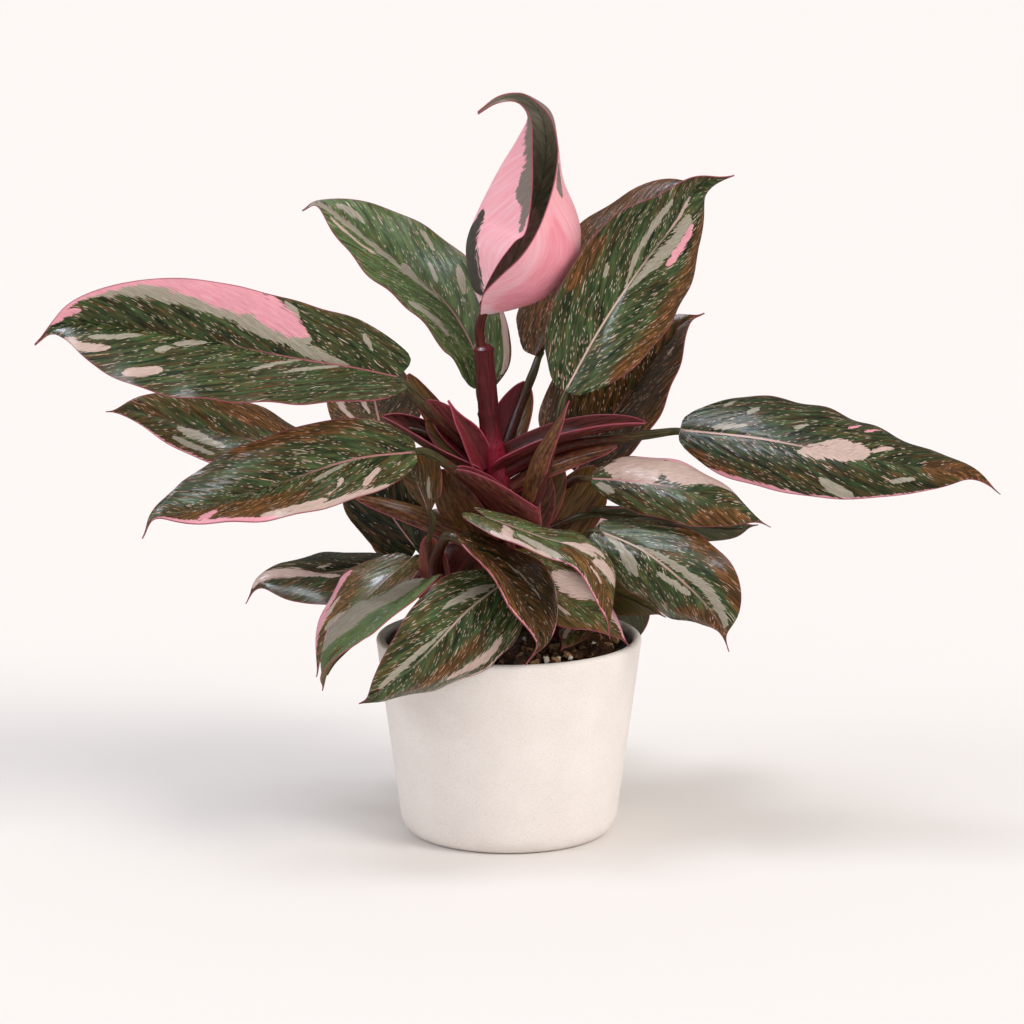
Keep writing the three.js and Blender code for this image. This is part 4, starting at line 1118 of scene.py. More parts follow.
@dataclass
class Shoot:
    """One stem with its petioles, sheaths and the midribs that run on under the blades."""

    name: str
    stem: Stem
    petioles: tuple[Petiole, ...]
    sheaths: tuple[Sheath, ...]
    blades: dict[str, Blade]
    petiole_skin: Material
    sheath_skin: Material
    stem_skin: Material

    def tube(self, path: Points | Array, radii: Array | tuple[float, ...], material: Material,
             green: Pair, groove: float = 0.0, rings: float = 0.0,
             glow: tuple[float, ...] = (0.0, 0.0)) -> Piece:
        """Models a round stalk with closed round ends.

        Args:
            path: Points that it follows, mm.
            radii: Radii at even shares of the path.
            material: Its skin.
            green: How olive it is at its start and its end.
            groove: Depth of the channel along its upper side, as a share of the radius.
            rings: Height of the leaf scars round it, mm.
            glow: How crimson it is at even shares of the path.

        Returns:
            The closed tube.
        """
        rough_length = curve_through(path, np.array([0.0, 1.0]))[2]
        count = max(6, round(rough_length / STALK_STEP))
        shares = np.linspace(0, 1, count + 1)
        places, along, length = curve_through(path, shares)
        radius = np.interp(shares, np.linspace(0, 1, len(radii)), radii)
        radius = radius + rings * np.exp(-((shares * length / NODE_STEP % 1 - 0.5) / SCAR_HALF) ** 2)
        upward = np.array([0.0, 0.0, 1.0]) if abs(along[0][2]) < 0.9 else np.array([0.0, -1.0, 0.0])
        normals = [unit(upward - upward @ along[0] * along[0])]
        for direction in along[1:]:
            normals.append(unit(normals[-1] - normals[-1] @ direction * direction))
        normals = np.array(normals)
        sides = np.cross(along, normals)
        turn = np.linspace(0, 2 * math.pi, STALK_SIDES + 1)
        channel = 1 - groove * np.exp(-((turn - math.pi) / CHANNEL_HALF) ** 2)
        ring = (-np.cos(turn) * channel)[None, :, None] * normals[:, None] \
            + (-np.sin(turn) * channel)[None, :, None] * sides[:, None]
        wall = places[:, None] + ring * radius[:, None, None]
        foot = places[:1, None] + ring[:1] * radius[0] * 0.02 - along[:1, None] * radius[0] * FOOT_DEPTH
        head = places[-1:, None] + ring[-1:] * radius[-1] * 0.6 + along[-1:, None] * radius[-1] * 0.45
        pole = places[-1:, None] + ring[-1:] * 0 + along[-1:, None] * radius[-1] * HEAD_HEIGHT
        start = places[:1, None] + ring[:1] * 0 - along[:1, None] * radius[0] * FOOT_DEPTH
        points = np.concatenate([start, foot, wall, head, pole])
        walk = np.concatenate([[0, 0], shares, [1, 1]])[:, None] + 0 * turn[None, :]
        sheet = SheetMesh(f"{self.name}_stalk", points)
        around = turn[None, :] * float(radius.mean()) + 0 * walk
        sheet.carry("run", walk * length + STALK_SHIFT * len(bpy.data.objects), around, FAR_INSIDE + 0 * walk)
        sheet.carry("tone", green[0] + (green[1] - green[0]) * walk ** GREENING,
                    np.interp(walk, np.linspace(0, 1, len(glow)), glow))
        dress(sheet.piece, material)
        weld(sheet.piece)
        return sheet.piece

    def petiole_path(self, petiole: Petiole) -> tuple[Array, Array]:
        """The way of a petiole and of the midrib that it becomes.

        Args:
            petiole: Petiole of a grown blade.

        Returns:
            Points of the petiole, and points of the midrib under the blade.
        """
        blade = self.blades[petiole.leaf]
        shares = np.linspace(0, MIDRIB_END, MIDRIB_STEPS + 1)
        places, along, up, _, _ = blade.frames(shares)
        radius = petiole.radii[1]
        base, direction, above = places[0], along[0], up[0]
        ends = [base - direction * SEAT_RUN - above * (radius + BLADE_THICKNESS / 2 + petiole.seat_gap),
                base - direction * SEAT_BEFORE - above * 0.8 * radius,
                base + direction * SEAT_BEYOND - above * (0.6 * radius + GROOVE_DEPTH)]
        way = np.vstack([np.asarray(petiole.through, float), ends])
        path = curve_through(way, np.linspace(0, 1, EASED_STEPS + 1))[0]
        loose = np.clip((EASED_STEPS - np.arange(1, EASED_STEPS)) / 6 - 0.5, 0, 1)[:, None]
        for _ in range(EASING):
            eased = (path[:-2] + 2 * path[1:-1] + path[2:]) / 4
            path[1:-1] += loose * (eased - path[1:-1])
        keel = np.interp(shares, np.linspace(0, MIDRIB_END, len(petiole.keel())), petiole.keel())
        rib = places - up * (keel[:, None] + GROOVE_DEPTH)
        rib[0] = ends[1]
        return path, rib

    def build_petiole(self, petiole: Petiole) -> list[Piece]:
        """Models a petiole and its blade's midrib.

        Args:
            petiole: Petiole of a grown blade.

        Returns:
            The two tubes.
        """
        path, rib = self.petiole_path(petiole)
        first, last = petiole.radii
        stalk = self.tube(path[::2], (first * 1.05, first, (first + last) / 2, last, last, last * 0.7),
                          self.petiole_skin, (0.1, petiole.green), groove=0.16, glow=(0.5, 0.1, 0, 0, 0))
        midrib = self.tube(rib, petiole.keel(), self.petiole_skin, (petiole.green, 0.6))
        return [stalk, midrib]

    def build_sheath(self, sheath: Sheath) -> Piece:
        """Models a sheath: a thin trough.

        Args:
            sheath: The sheath.

        Returns:
            The closed trough.
        """
        points, grid = sheath.blade.surface(np.linspace(0, 1, SHEATH_ROWS + 1),
                                            np.linspace(-1, 1, SHEATH_COLUMNS + 1), SHEATH_RELIEF)
        sheet = SheetMesh(f"{self.name}_sheath", points)
        sheet.carry("run", grid["x"] + SHEATH_SHIFT * len(bpy.data.objects), grid["y"], grid["edge"])
        right = np.clip(grid["y"] / 3 + 0.5, 0, 1)
        left = 1 - right
        foot = 0.5 * np.exp(-grid["x"] / SHEATH_FLUSH)
        sheet.carry("tone", sheath.greens[0] * left + sheath.greens[1] * right,
                    sheath.glows[0] * left + sheath.glows[1] * right + foot)
        dress(sheet.piece, self.sheath_skin)
        apply_modifier(sheet.piece, "SOLIDIFY", thickness=SHEATH_THICKNESS * MM, offset=0.0)
        return sheet.piece

    def build(self) -> None:
        """Models the whole shoot as one piece and hangs it in the place of its node."""
        parts = [self.tube(self.stem.through, self.stem.radii, self.stem_skin, (0.0, 0.3), rings=0.7,
                           glow=self.stem.glow)]
        for petiole in self.petioles:
            parts += self.build_petiole(petiole) if petiole.leaf in self.blades else [
                self.tube(petiole.through, petiole.radii, self.petiole_skin, (0.0, petiole.green))]
        parts += [self.build_sheath(sheath) for sheath in self.sheaths]
        piece = join(f"stalks_{self.name}", parts)
        smooth(piece, BLADE_CREASE)
        settle(piece, f"shoot_{self.name}", "petiole_tissue")


# ---- pots and potting mix ----
@dataclass
class TurnedPot:
    """A pot drawn up from a disc by extruding and resizing its rim, ring after ring."""

    name: str
    node: str
    slot: str
    profile: Profile  # radius and height, from the foot round to the inner floor
    material: Material
    sides: int = 160

    def draw_up(self) -> Piece:
        """Models the pot.

        Returns:
            The closed shell.
        """
        bpy.ops.object.select_all(action="DESELECT")
        radius, height = self.profile[0]
        bpy.ops.mesh.primitive_circle_add(vertices=self.sides, radius=radius * MM, fill_type="TRIFAN",
                                          location=(0, 0, height * MM))
        piece = bpy.context.object
        piece.name = self.name
        bpy.ops.object.transform_apply(location=True, rotation=True, scale=True)
        bpy.ops.object.mode_set(mode="EDIT")
        bpy.ops.mesh.select_all(action="SELECT")
        bpy.ops.mesh.region_to_loop()
        for new_radius, new_height in self.profile[1:]:
            bpy.ops.mesh.extrude_edges_move(
                TRANSFORM_OT_translate={"value": (0, 0, (new_height - height) * MM)})
            factor = new_radius / radius
            bpy.ops.transform.resize(value=(factor, factor, 1), center_override=(0, 0, new_height * MM))
            radius, height = new_radius, new_height
        bpy.ops.mesh.merge(type="CENTER")
        bpy.ops.mesh.select_all(action="SELECT")
        bpy.ops.mesh.normals_make_consistent(inside=False)
        bpy.ops.object.mode_set(mode="OBJECT")
        return piece

    def build(self) -> None:
        """Models the pot and hangs it in the place of its node."""
        piece = self.draw_up()
        smooth(piece, 45)
        dress(piece, self.material)
        settle(piece, self.node, self.slot)


def arc(radius: float, height: float, reach: float, start: float, end: float, steps: int) -> list[Pair]:
    """Returns an arc of a profile: its middle, its own radius, its two angles in degrees and its steps."""
    turns = [math.radians(start + (end - start) * i / steps) for i in range(steps + 1)]
    return [(radius + reach * math.cos(turn), height + reach * math.sin(turn)) for turn in turns]


HEEL_STEPS = 14
WALL_STEPS = 24
RIM_STEPS = 12
WELL_STEPS = 5
FLOOR_RINGS = (20.0, 1.0)  # radii of the last rings on a pot's floor, mm


@dataclass(frozen=True)
class PotSizes:
    """Driving sizes of the two pots and the soil, mm. Rims and feet are radii."""

    height: float = 105.0
    rim: float = 70.0
    foot: float = 56.6
    flat: float = 49.0
    heel: float = 8.6
    heel_height: float = 13.5
    wall: float = 4.5
    floor: float = 6.0
    well_height: float = 8.0
    well_width: float = 5.0
    liner_rim: float = 61.5
    liner_foot: float = 46.0
    liner_top: float = 103.0
    liner_wall: float = 1.2
    lip: float = 2.6
    lip_height: float = 7.0
    soil_edge: float = 101.5
    soil_crown: float = 106.0

    def cover_radius(self, height: float) -> float:
        """Outer radius of the cover pot's straight wall."""
        return self.foot + (self.rim - self.foot) * height / self.height

    def liner_radius(self, height: float) -> float:
        """Outer radius of the nursery pot's wall."""
        share = (height - self.floor) / (self.liner_top - self.floor)
        return self.liner_foot + (self.liner_rim - self.liner_foot) * share

    def cover_profile(self) -> Profile:
        """Profile of the cover pot: flat foot, round heel, straight wall and round rim.

        Returns:
            Radius and height of each point.
        """
        half = self.wall / 2
        rim_height = self.height - half
        well = self.floor + self.well_height
        inner = self.cover_radius(well) - self.wall
        rows = [(self.flat * 0.6, 0.0)]
        rows += [(radius, height * self.heel_height / self.heel)
                 for radius, height in arc(self.flat, self.heel, self.heel, -90, -12, HEEL_STEPS)]
        start = rows[-1]
        end = (self.cover_radius(rim_height), rim_height)
        rows += [(start[0] + (end[0] - start[0]) * i / WALL_STEPS,
                  start[1] + (end[1] - start[1]) * i / WALL_STEPS) for i in range(1, WALL_STEPS)]
        rows += arc(self.cover_radius(rim_height) - half, rim_height, half, 0, 180, RIM_STEPS)
        rows += [(inner, well)]
        rows += [(inner - self.well_width * (1 - math.cos(a)), well - self.well_height * math.sin(a))
                 for a in np.linspace(0.2, math.pi / 2, WELL_STEPS + 1)]
        return tuple(rows + [(ring, self.floor) for ring in FLOOR_RINGS])

    def liner_profile(self) -> Profile:
        """Profile of the nursery pot: thin wall and a turned-out lip.

        Returns:
            Radius and height of each point.
        """
        foot = self.floor + 0.3
        lip_foot = self.liner_top - self.lip_height
        lip_out = self.liner_radius(lip_foot) + self.lip
        top_out = self.liner_radius(self.liner_top) + self.lip - 0.6
        inner_top = self.liner_radius(self.liner_top) - self.liner_wall
        inner_foot = self.liner_radius(foot + self.liner_wall) - self.liner_wall
        return ((FLOOR_RINGS[0], foot), (self.liner_radius(foot) - 1, foot),
                (self.liner_radius(foot + 1), foot + 1),
                (self.liner_radius(lip_foot) - 0.1, lip_foot), (lip_out - 0.4, lip_foot + 0.1),
                (lip_out, lip_foot + 0.6), (top_out + 0.1, self.liner_top - 0.7),
                (top_out - 0.5, self.liner_top), (inner_top + 0.5, self.liner_top),
                (inner_top, self.liner_top - 0.6), (inner_foot, foot + self.liner_wall),
                *((ring, foot + self.liner_wall) for ring in FLOOR_RINGS))


WEAR_SCALE = 1.7  # how fine the wear of a lump is, in noise cells across it
WEAR_SHIFT = 3.1  # and how far apart two lumps lie in the noise
Lumps = list[tuple[Vector, Triple, Triple]]  # place, size and turn of each, mm and radians


@dataclass
class PottingMix:
    """Mound of peat in the nursery pot with bark chips and perlite lying in it."""

    sizes: PotSizes
    peat: Material
    bark: Material
    tan_bark: Material
    perlite: Material
    stems: Points  # centre and radius of each at the soil
    chips: int = 20
    chip_length: float = 9.0  # mm
    chip_ring: float = 52.0   # mm
    small_chips: int = 420
    grains: int = 34
    seed: int = 7
    steps_around: int = 200
    steps_out: int = 60
    clod: float = 5.0         # size of the mound's crumbs, mm
    clod_height: float = 0.9  # mm

    def inside(self, height: float) -> float:
        """Inner radius of the nursery pot, less the gap to it."""
        return self.sizes.liner_radius(height) - self.sizes.liner_wall - 0.3

    def surface_height(self, ring: float) -> float:
        """Height of the mound at a distance from its middle."""
        drop = self.sizes.soil_crown - self.sizes.soil_edge
        return self.sizes.soil_edge + drop * (1 - ring / self.inside(self.sizes.soil_edge))

    def mound(self) -> Piece:
        """Models the crumbly mound down to below the chips.

        Returns:
            The closed mound.
        """
        edge = self.inside(self.sizes.soil_edge)
        turn = np.linspace(0, 2 * math.pi, self.steps_around + 1)
        rings = edge * np.linspace(0, 1, self.steps_out + 1) ** 0.8
        rows = []
        floor = self.sizes.floor + 2.0
        for ring in (0.0, self.inside(floor) * 0.5, self.inside(floor)):
            rows.append([(ring * math.cos(a), ring * math.sin(a), floor) for a in turn])
        for ring in rings[::-1]:
            row = []
            for a in turn:
                spot = Vector((ring * math.cos(a), ring * math.sin(a), 0.0))
                clod = noise.fractal(spot / self.clod, 1.0, 2.0, 4) * self.clod_height
                fade = min(1.0, (edge - ring) / 2.0)
                height = self.surface_height(ring) - self.clod_height + (clod - 0.1) * fade
                row.append((spot.x, spot.y, height))
            rows.append(row)
        sheet = SheetMesh("potting_peat", np.array(rows))
        dress(sheet.piece, self.peat)
        weld(sheet.piece)
        smooth(sheet.piece, 60)
        return sheet.piece

    def lump(self, name: str, detail: int) -> tuple[Array, list[tuple[int, ...]]]:
        """Models one unit lump, to be copied.

        Args:
            name: Name of the working object.
            detail: Cuts along each edge of the starting cube.

        Returns:
            Its points and its faces.
        """
        bpy.ops.object.select_all(action="DESELECT")
        bpy.ops.mesh.primitive_cube_add(size=1.0)
        piece = bpy.context.object
        piece.name = name
        bpy.ops.object.mode_set(mode="EDIT")
        bpy.ops.mesh.select_all(action="SELECT")
        bpy.ops.mesh.subdivide(number_cuts=detail, smoothness=0.35)
        bpy.ops.object.mode_set(mode="OBJECT")
        points = np.array([vertex.co[:] for vertex in piece.data.vertices])
        faces = [tuple(polygon.vertices) for polygon in piece.data.polygons]
        bpy.data.objects.remove(piece)
        return points, faces

    def scatter(self, name: str, rows: Lumps, detail: int, rough: float, material: Material) -> Piece:
        """Copies a lump to many places, each with its own wear.

        Args:
            name: Name of the piece.
            rows: The copies.
            detail: Cuts along each edge of the lump.
            rough: How far a corner moves, as a share of the size.
            material: Its finish.

        Returns:
            One piece of all copies.
        """
        model, faces = self.lump(f"{name}_model", detail)
        points, polygons = [], []
        for number, (place, size, turn) in enumerate(rows):
            away = Vector((number * WEAR_SHIFT, 0, 0))
            shift = np.array([noise.noise_vector(Vector(point) * WEAR_SCALE + away) for point in model])
            worn = (model + rough * shift) * np.array(size)
            cx, sx, cy, sy, cz, sz = [f(a) for a in turn for f in (math.cos, math.sin)]
            rotate_x = np.array([[1, 0, 0], [0, cx, -sx], [0, sx, cx]])
            rotate_y = np.array([[cy, 0, sy], [0, 1, 0], [-sy, 0, cy]])
            rotate_z = np.array([[cz, -sz, 0], [sz, cz, 0], [0, 0, 1]])
            worn = worn @ (rotate_z @ rotate_y @ rotate_x).T + np.array(place)
            polygons += [tuple(i + len(model) * number for i in face) for face in faces]
            points.append(worn)
        mesh = bpy.data.meshes.new(name)
        mesh.from_pydata((np.vstack(points) * MM).tolist(), [], polygons)
        piece = bpy.data.objects.new(name, mesh)
        bpy.context.scene.collection.objects.link(piece)
        dress(piece, material)
        smooth(piece, 35)
        return piece

    def free(self, x: float, y: float, reach: float) -> bool:
        """Tells whether a chip of this reach is clear of the stems."""
        return all(math.hypot(x - sx, y - sy) - radius > reach for sx, sy, radius in self.stems)

    def large_chips(self) -> Lumps:
        """Places of the large chips, by a fixed series of draws.

        Returns:
            Place, size and turn of each.
        """
        state = self.seed
        draws = []

        def draw() -> float:
            """Next number of the series, 0 to 1.

            Returns:
                The number.
            """
            nonlocal state
            state = (state * 1664525 + 1013904223) % 2 ** 32
            return state / 2 ** 32

        while len(draws) < self.chips:
            ring = self.chip_ring * math.sqrt(draw())
            turn = 2 * math.pi * draw()
            length = self.chip_length * (0.6 + 0.6 * draw())
            x, y = ring * math.cos(turn), ring * math.sin(turn)
            if self.free(x, y, length * 0.7):
                place = Vector((x, y, self.surface_height(ring) - 0.5))
                turns = (0.5 - draw(), 0.5 - draw(), math.pi * draw())
                draws.append((place, (length, length * 0.6, length * 0.5), turns))
        return draws

    def strewn(self, count: int, smallest: float, largest: float, flat: float, seed: int) -> Lumps:
        """Places of many small lumps.

        Args:
            count: How many.
            smallest: Least length, mm.
            largest: Greatest length, mm.
            flat: Thickness as a share of the length.
            seed: Seed of the draws.

        Returns:
            Place, size and turn of each.
        """
        draw = random.Random(seed)
        rows = []
        while len(rows) < count:
            ring = (self.inside(self.sizes.soil_edge) - largest * 0.6) * math.sqrt(draw.random())
            turn = 2 * math.pi * draw.random()
            length = draw.uniform(smallest, largest)
            x, y = ring * math.cos(turn), ring * math.sin(turn)
            if self.free(x, y, length * 0.6):
                place = Vector((x, y, self.surface_height(ring) - 0.4 + draw.uniform(0, 0.3) * length))
                turns = (draw.uniform(-0.7, 0.7), draw.uniform(-0.7, 0.7), draw.uniform(0, 6.28))
                rows.append((place, (length, length * draw.uniform(0.45, 0.8), length * flat), turns))
        return rows

    def build(self) -> None:
        """Models the mix and hangs it in the place of its node."""
        noise.seed_set(self.seed)
        settle(self.mound(), "potting_mix", "bark_mix")
        large = self.large_chips()
        fines = self.strewn(self.small_chips, 2.0, 7.5, 0.5, 11)
        fresh = self.strewn(self.small_chips // 3, 1.6, 6.0, 0.6, 12)
        grains = self.strewn(self.grains, 1.6, 4.6, 0.8, 13)
        for name, rows, detail, rough, material in (
                ("bark_chips", large[::2], 2, 0.22, self.bark),
                ("bark_chips_fresh", large[1::2], 2, 0.22, self.tan_bark),
                ("bark_fines", fines, 1, 0.3, self.bark),
                ("bark_fines_fresh", fresh, 1, 0.35, self.tan_bark),
                ("perlite", grains, 2, 0.4, self.perlite)):
            settle(self.scatter(name, rows, detail, rough, material), slot="bark_mix")


# ---- tables ----
# Each row gives the midrib from the petiole to the drip tip, the width, where the upper side faces at
# both ends and the outline of one blade.
BLADES = {
    "left_high": Blade(((-58, -12, 245), (-82, -22, 252), (-107, -28, 257), (-158, -38, 269),
        (-209, -44, 278), (-230, -46, 277), (-242, -47, 268)), 75, ((0.1, -0.67, 0.74), (-0.2, -0.96, 0.2)),
        peak=0.53, base=0.57, point=0.58, left_lobe=0.2, halves=(1.18, 0.82), rise=(0.6, 0.5),
        roll=(-0.15, -0.35)),
    "left_low": Blade(((-48, -40, 211), (-81, -52, 209), (-122, -62, 197), (-162, -68, 186),
        (-180, -70, 183), (-187, -70, 172)), 51, ((0.26, -0.95, 0.19), (-0.31, -0.27, 0.91)), peak=0.56,
        base=0.34, tail=0.08, point=0.5, lobe=0, rise=(0.45, 0.46), roll=(-0.33, -0.31)),
    "left_back": Blade(((-83, 43, 176), (-116, 48, 194), (-164, 54, 205), (-196, 58, 213), (-215, 60, 213)),
        45, ((0.2, -0.1, 0.96), (-0.31, -0.9, 0)), peak=0.36, tail=0.05, point=0.67, halves=(0.85, 1.15),
        rise=(0.15, 0.19), roll=(-0.78, -0.67)),
    "left_rear": Blade(((-68, 22, 214), (-72, 52, 224), (-76, 90, 238), (-77, 104, 247)), 52,
        ((0.06, -0.74, 0.67), (-0.07, -0.6, 0.79)), peak=0.33, tail=0.06, point=0.88, rise=(0.15, 0.15),
        roll=(-0.75, -0.73)),
    "top_left": Blade(((-15, 14, 235), (-18, 24, 252), (-33, 38, 275), (-58, 52, 294), (-84, 64, 313),
        (-101, 70, 323), (-110, 70, 320)), 56, ((0.38, -0.8, 0.47), (0.13, -0.53, 0.84)), peak=0.51,
        base=0.35, tail=0.06, point=0.65, lobe=0.02, halves=(1.06, 0.94), rise=(0.5, 0.46),
        roll=(-0.2, -0.24)),
    "top_right": Blade(((29, -26, 240), (47, -16, 271), (68, 0, 300), (86, 10, 322), (98, 16, 340),
        (117, 14, 346)), 63, ((-0.4, -0.84, 0.36), (0.61, -0.75, -0.25)), peak=0.53, base=0.34, tail=0.03,
        point=1.22, lobe=0, rise=(0.37, 0.2), roll=(-0.3, -0.78)),
    "top_right_back": Blade(((14, 22, 250), (27, 30, 273), (53, 40, 303), (79, 46, 326), (100, 46, 340)),
        75, ((-0.81, -0.35, 0.48), (-0.49, -0.42, 0.76)), peak=0.3, tail=0.05, point=0.5, lobe=0,
        rise=(0.34, 0.48), roll=(-0.44, -0.31)),
    "right_back": Blade(((35, 34, 186), (51, 44, 208), (72, 56, 236), (91, 66, 258), (104, 70, 265)), 82,
        ((-0.48, -0.74, 0.48), (-0.47, -0.51, 0.72)), peak=0.36, base=0.4, tail=0.06, point=0.82, lobe=0,
        round=0.2, rise=(0.42, 0.51), roll=(-0.34, -0.28)),
    "right_high": Blade(((89, -6, 216), (130, -20, 214), (176, -30, 207), (217, -32, 201), (238, -32, 199),
        (254, -31, 187)), 60, ((-0.16, -0.79, 0.59), (0.22, -0.53, 0.82)), peak=0.38, base=0.36, tail=0.04,
        point=1.06, lobe=0, halves=(1.12, 0.88), rise=(0.08, 0.07), roll=(-0.69, -0.95)),
    "right_mid": Blade(((43, -20, 193), (68, -29, 193), (94, -37, 189), (119, -41, 180), (135, -42, 172)),
        39, ((-0.1, -0.89, 0.43), (0.2, -0.49, 0.85)), peak=0.52, base=0.34, point=0.81, lobe=0,
        halves=(1.08, 0.92), rise=(0.07, 0.02), roll=(-0.83, -0.93)),
    "right_under": Blade(((44, 7, 170), (62, 9, 168), (90, 11, 164), (116, 12, 160), (131, 12, 162)), 44,
        ((0, 0.35, 0.94), (0.2, 0.7, 0.68)), peak=0.55, base=0.55, point=0.56, rise=(0.29, 0.25)),
    "right_low": Blade(((47, -28, 167), (70, -42, 159), (93, -52, 142), (107, -56, 126), (113, -56, 109)),
        50, ((0.21, -0.63, 0.75), (-0.5, -0.86, -0.12)), peak=0.6, base=0.42, tail=0.12, point=0.5,
        lobe=0.04, rise=(0.19, 0), roll=(-0.62, -1.2)),
    "right_drop": Blade(((35, 20, 133), (50, 20, 127), (67, 17, 120), (83, 12, 112)), 41,
        ((0.09, 0.77, 0.63), (0.38, 0.66, 0.64)), point=0.89, rise=(0.3, 0.24)),
    "centre_right": Blade(((-11, -52, 179), (16, -66, 172), (36, -74, 167), (48, -78, 152), (52, -78, 121)),
        36, ((0.19, -0.13, 0.97), (0.84, -0.52, 0.14)), peak=0.37, tail=0.1, point=0.57, lobe=0.13,
        rise=(0.23, 0.2)),
    "centre_down": Blade(((-25, -61, 171), (-7, -71, 158), (8, -75, 140), (16, -77, 121), (9, -77, 107)),
        57, ((0.63, -0.26, 0.73), (0.84, -0.55, 0)), peak=0.53, base=0.47, tail=0.12, point=0.92, lobe=0.03,
        halves=(1.2, 0.8), rise=(0.26, 0.44), roll=(-0.52, -0.39)),
    "centre_low": Blade(((-2, -22, 151), (21, -34, 138), (47, -38, 124), (63, -38, 108)), 47,
        ((0.25, -0.65, 0.72), (0.35, -0.41, 0.84)), tail=0.06, point=0.92, lobe=0.02, rise=(0.24, 0.31),
        roll=(-0.61, -0.53)),
    "front": Blade(((-3, -58, 146), (-22, -78, 135), (-45, -91, 113), (-66, -95, 96), (-76, -95, 91)), 56,
        ((-0.15, -0.88, 0.46), (0.57, -0.68, -0.47)), base=0.55, tail=0.05, point=0.51, lobe=0.06,
        halves=(1.2, 0.8), rise=(0.02, 0.21), roll=(-0.86, -0.7)),
    "fold_top": Blade(((-51, 6, 145), (-67, -7, 134), (-85, -15, 117), (-97, -19, 102), (-101, -19, 87)),
        54, ((-0.58, -0.53, 0.62), (-0.91, -0.22, 0.35)), peak=0.38, tail=0.06, point=0.85, lobe=0,
        halves=(0.93, 1.07), rise=(0.35, 0.29), roll=(-0.47, -0.38)),
    "fold_low": Blade(((-40, -35, 142), (-59, -55, 132), (-79, -65, 117), (-92, -69, 104), (-96, -69, 92)),
        72, ((-0.69, -0.49, 0.53), (-0.84, -0.02, 0.54)), peak=0.6, base=0.43, tail=0.06, point=0.5, lobe=0,
        rise=(0.41, 0.3), roll=(-0.37, -0.36)),
    "left_tip": Blade(((-64, 42, 134), (-89, 34, 132), (-115, 28, 130), (-132, 26, 128), (-140, 26, 116)),
        55, ((-0.1, -0.34, 0.93), (-0.25, -0.46, 0.85)), peak=0.37, point=1.18, lobe=0.04, rise=(0.2, 0.16),
        roll=(-0.66, -0.71)),
    "left_dark": Blade(((-49, 16, 148), (-62, 20, 165), (-76, 24, 188), (-83, 26, 204)), 50,
        ((-0.67, -0.74, -0.09), (-0.06, -0.9, 0.43)), peak=0.35, point=0.86, rise=(0.18, 0.25),
        roll=(-0.69, -0.6)),
    "small": Blade(((-42, -22, 176), (-45, -20, 184), (-51, -16, 196), (-59, -12, 205)), 35,
        ((-0.92, -0.38, -0.13), (-0.35, -0.93, 0.09)), point=0.71, lobe=0.03, halves=(0.89, 1.11),
        rise=(0.07, 0.21), roll=(-0.86, -0.63)),
    "shade_right": Blade(((43, 56, 111), (52, 70, 110), (58, 82, 101), (60, 92, 86), (58, 97, 69)), 40,
        ((0, 0.35, 0.94), (0.52, 0.83, 0.21)), tail=0.08),
    "shade_left": Blade(((-41, 54, 131), (-57, 76, 128), (-70, 92, 116), (-77, 100, 100), (-79, 104, 84)),
        50, ((0, 0.35, 0.94), (-0.52, 0.83, 0.21)), tail=0.08),
    "soil": Blade(((39, -24, 118), (33, -34, 114), (30, -42, 111), (27, -47, 108)), 15, ((0.1, -0.6, 0.8),
        (0.1, -0.8, 0.6)), peak=0.35, tail=0.1),
    "back_mid": Blade(((6, 54, 148), (8, 92, 160), (10, 132, 154), (12, 166, 134), (12, 184, 110)), 50,
        ((0, -0.2, 0.98), (0, 0.8, 0.6))),
    "back_left": Blade(((-22, 50, 140), (-40, 80, 150), (-56, 112, 144), (-66, 138, 126), (-70, 152, 104)),
        46, ((0, -0.2, 0.98), (-0.4, 0.7, 0.6))),
    "back_right": Blade(((30, 48, 138), (54, 76, 148), (78, 104, 140), (94, 128, 120), (98, 140, 98)), 50,
        ((0, -0.2, 0.98), (0.4, 0.7, 0.6))),
}

# Five rails of the rolled leaf: left margin, left side, back, right side and right margin.
ROLLED = (
    ((-13, -2, 284), (-12, -9, 291), (-5, -15, 305), (3, -17, 316), (9, -17, 322), (12, -14, 343),
     (12, -10, 363), (11, -6, 379), (4, -3.2, 386.6), (-6, -2, 385.8), (-16, -1, 380)),
    ((-15, 2, 282), (-20, 5, 293), (-22, 8, 311), (-16, 10, 328), (-5, 9, 350), (5, 6, 367), (10, 2, 379),
     (3, -0.8, 387.6), (-6, -1.3, 386.7), (-16, -0.7, 380.4)),
    ((-15, 4, 278), (-8, 18, 282), (3, 27, 302), (11, 23, 324), (18, 15, 347), (19, 7, 369), (15, 3, 382),
     (5, 0.8, 389.2), (-6, -0.9, 387.6), (-16, -0.5, 380.8)),
    ((-14, 2, 275), (3, 4, 278), (20, 4, 285), (34, 4, 302), (37, 6, 316), (34.5, 6, 329), (27.5, 5, 346),
     (25, 3, 363), (22, 1, 380), (13, 0, 388), (4, -0.8, 390.5), (-6, -1.3, 388.5), (-16, -0.7, 381.2)),
    ((-15, -4, 277), (-13, -16, 289), (-4, -24, 300), (6, -27, 310), (14, -25, 322), (20, -19, 336),
     (24, -11, 350), (25, -5, 364), (21, -3, 379), (11, -3, 389), (4, -2.8, 391.4), (-6, -2, 389.3),
     (-16, -1, 381.6)),
)

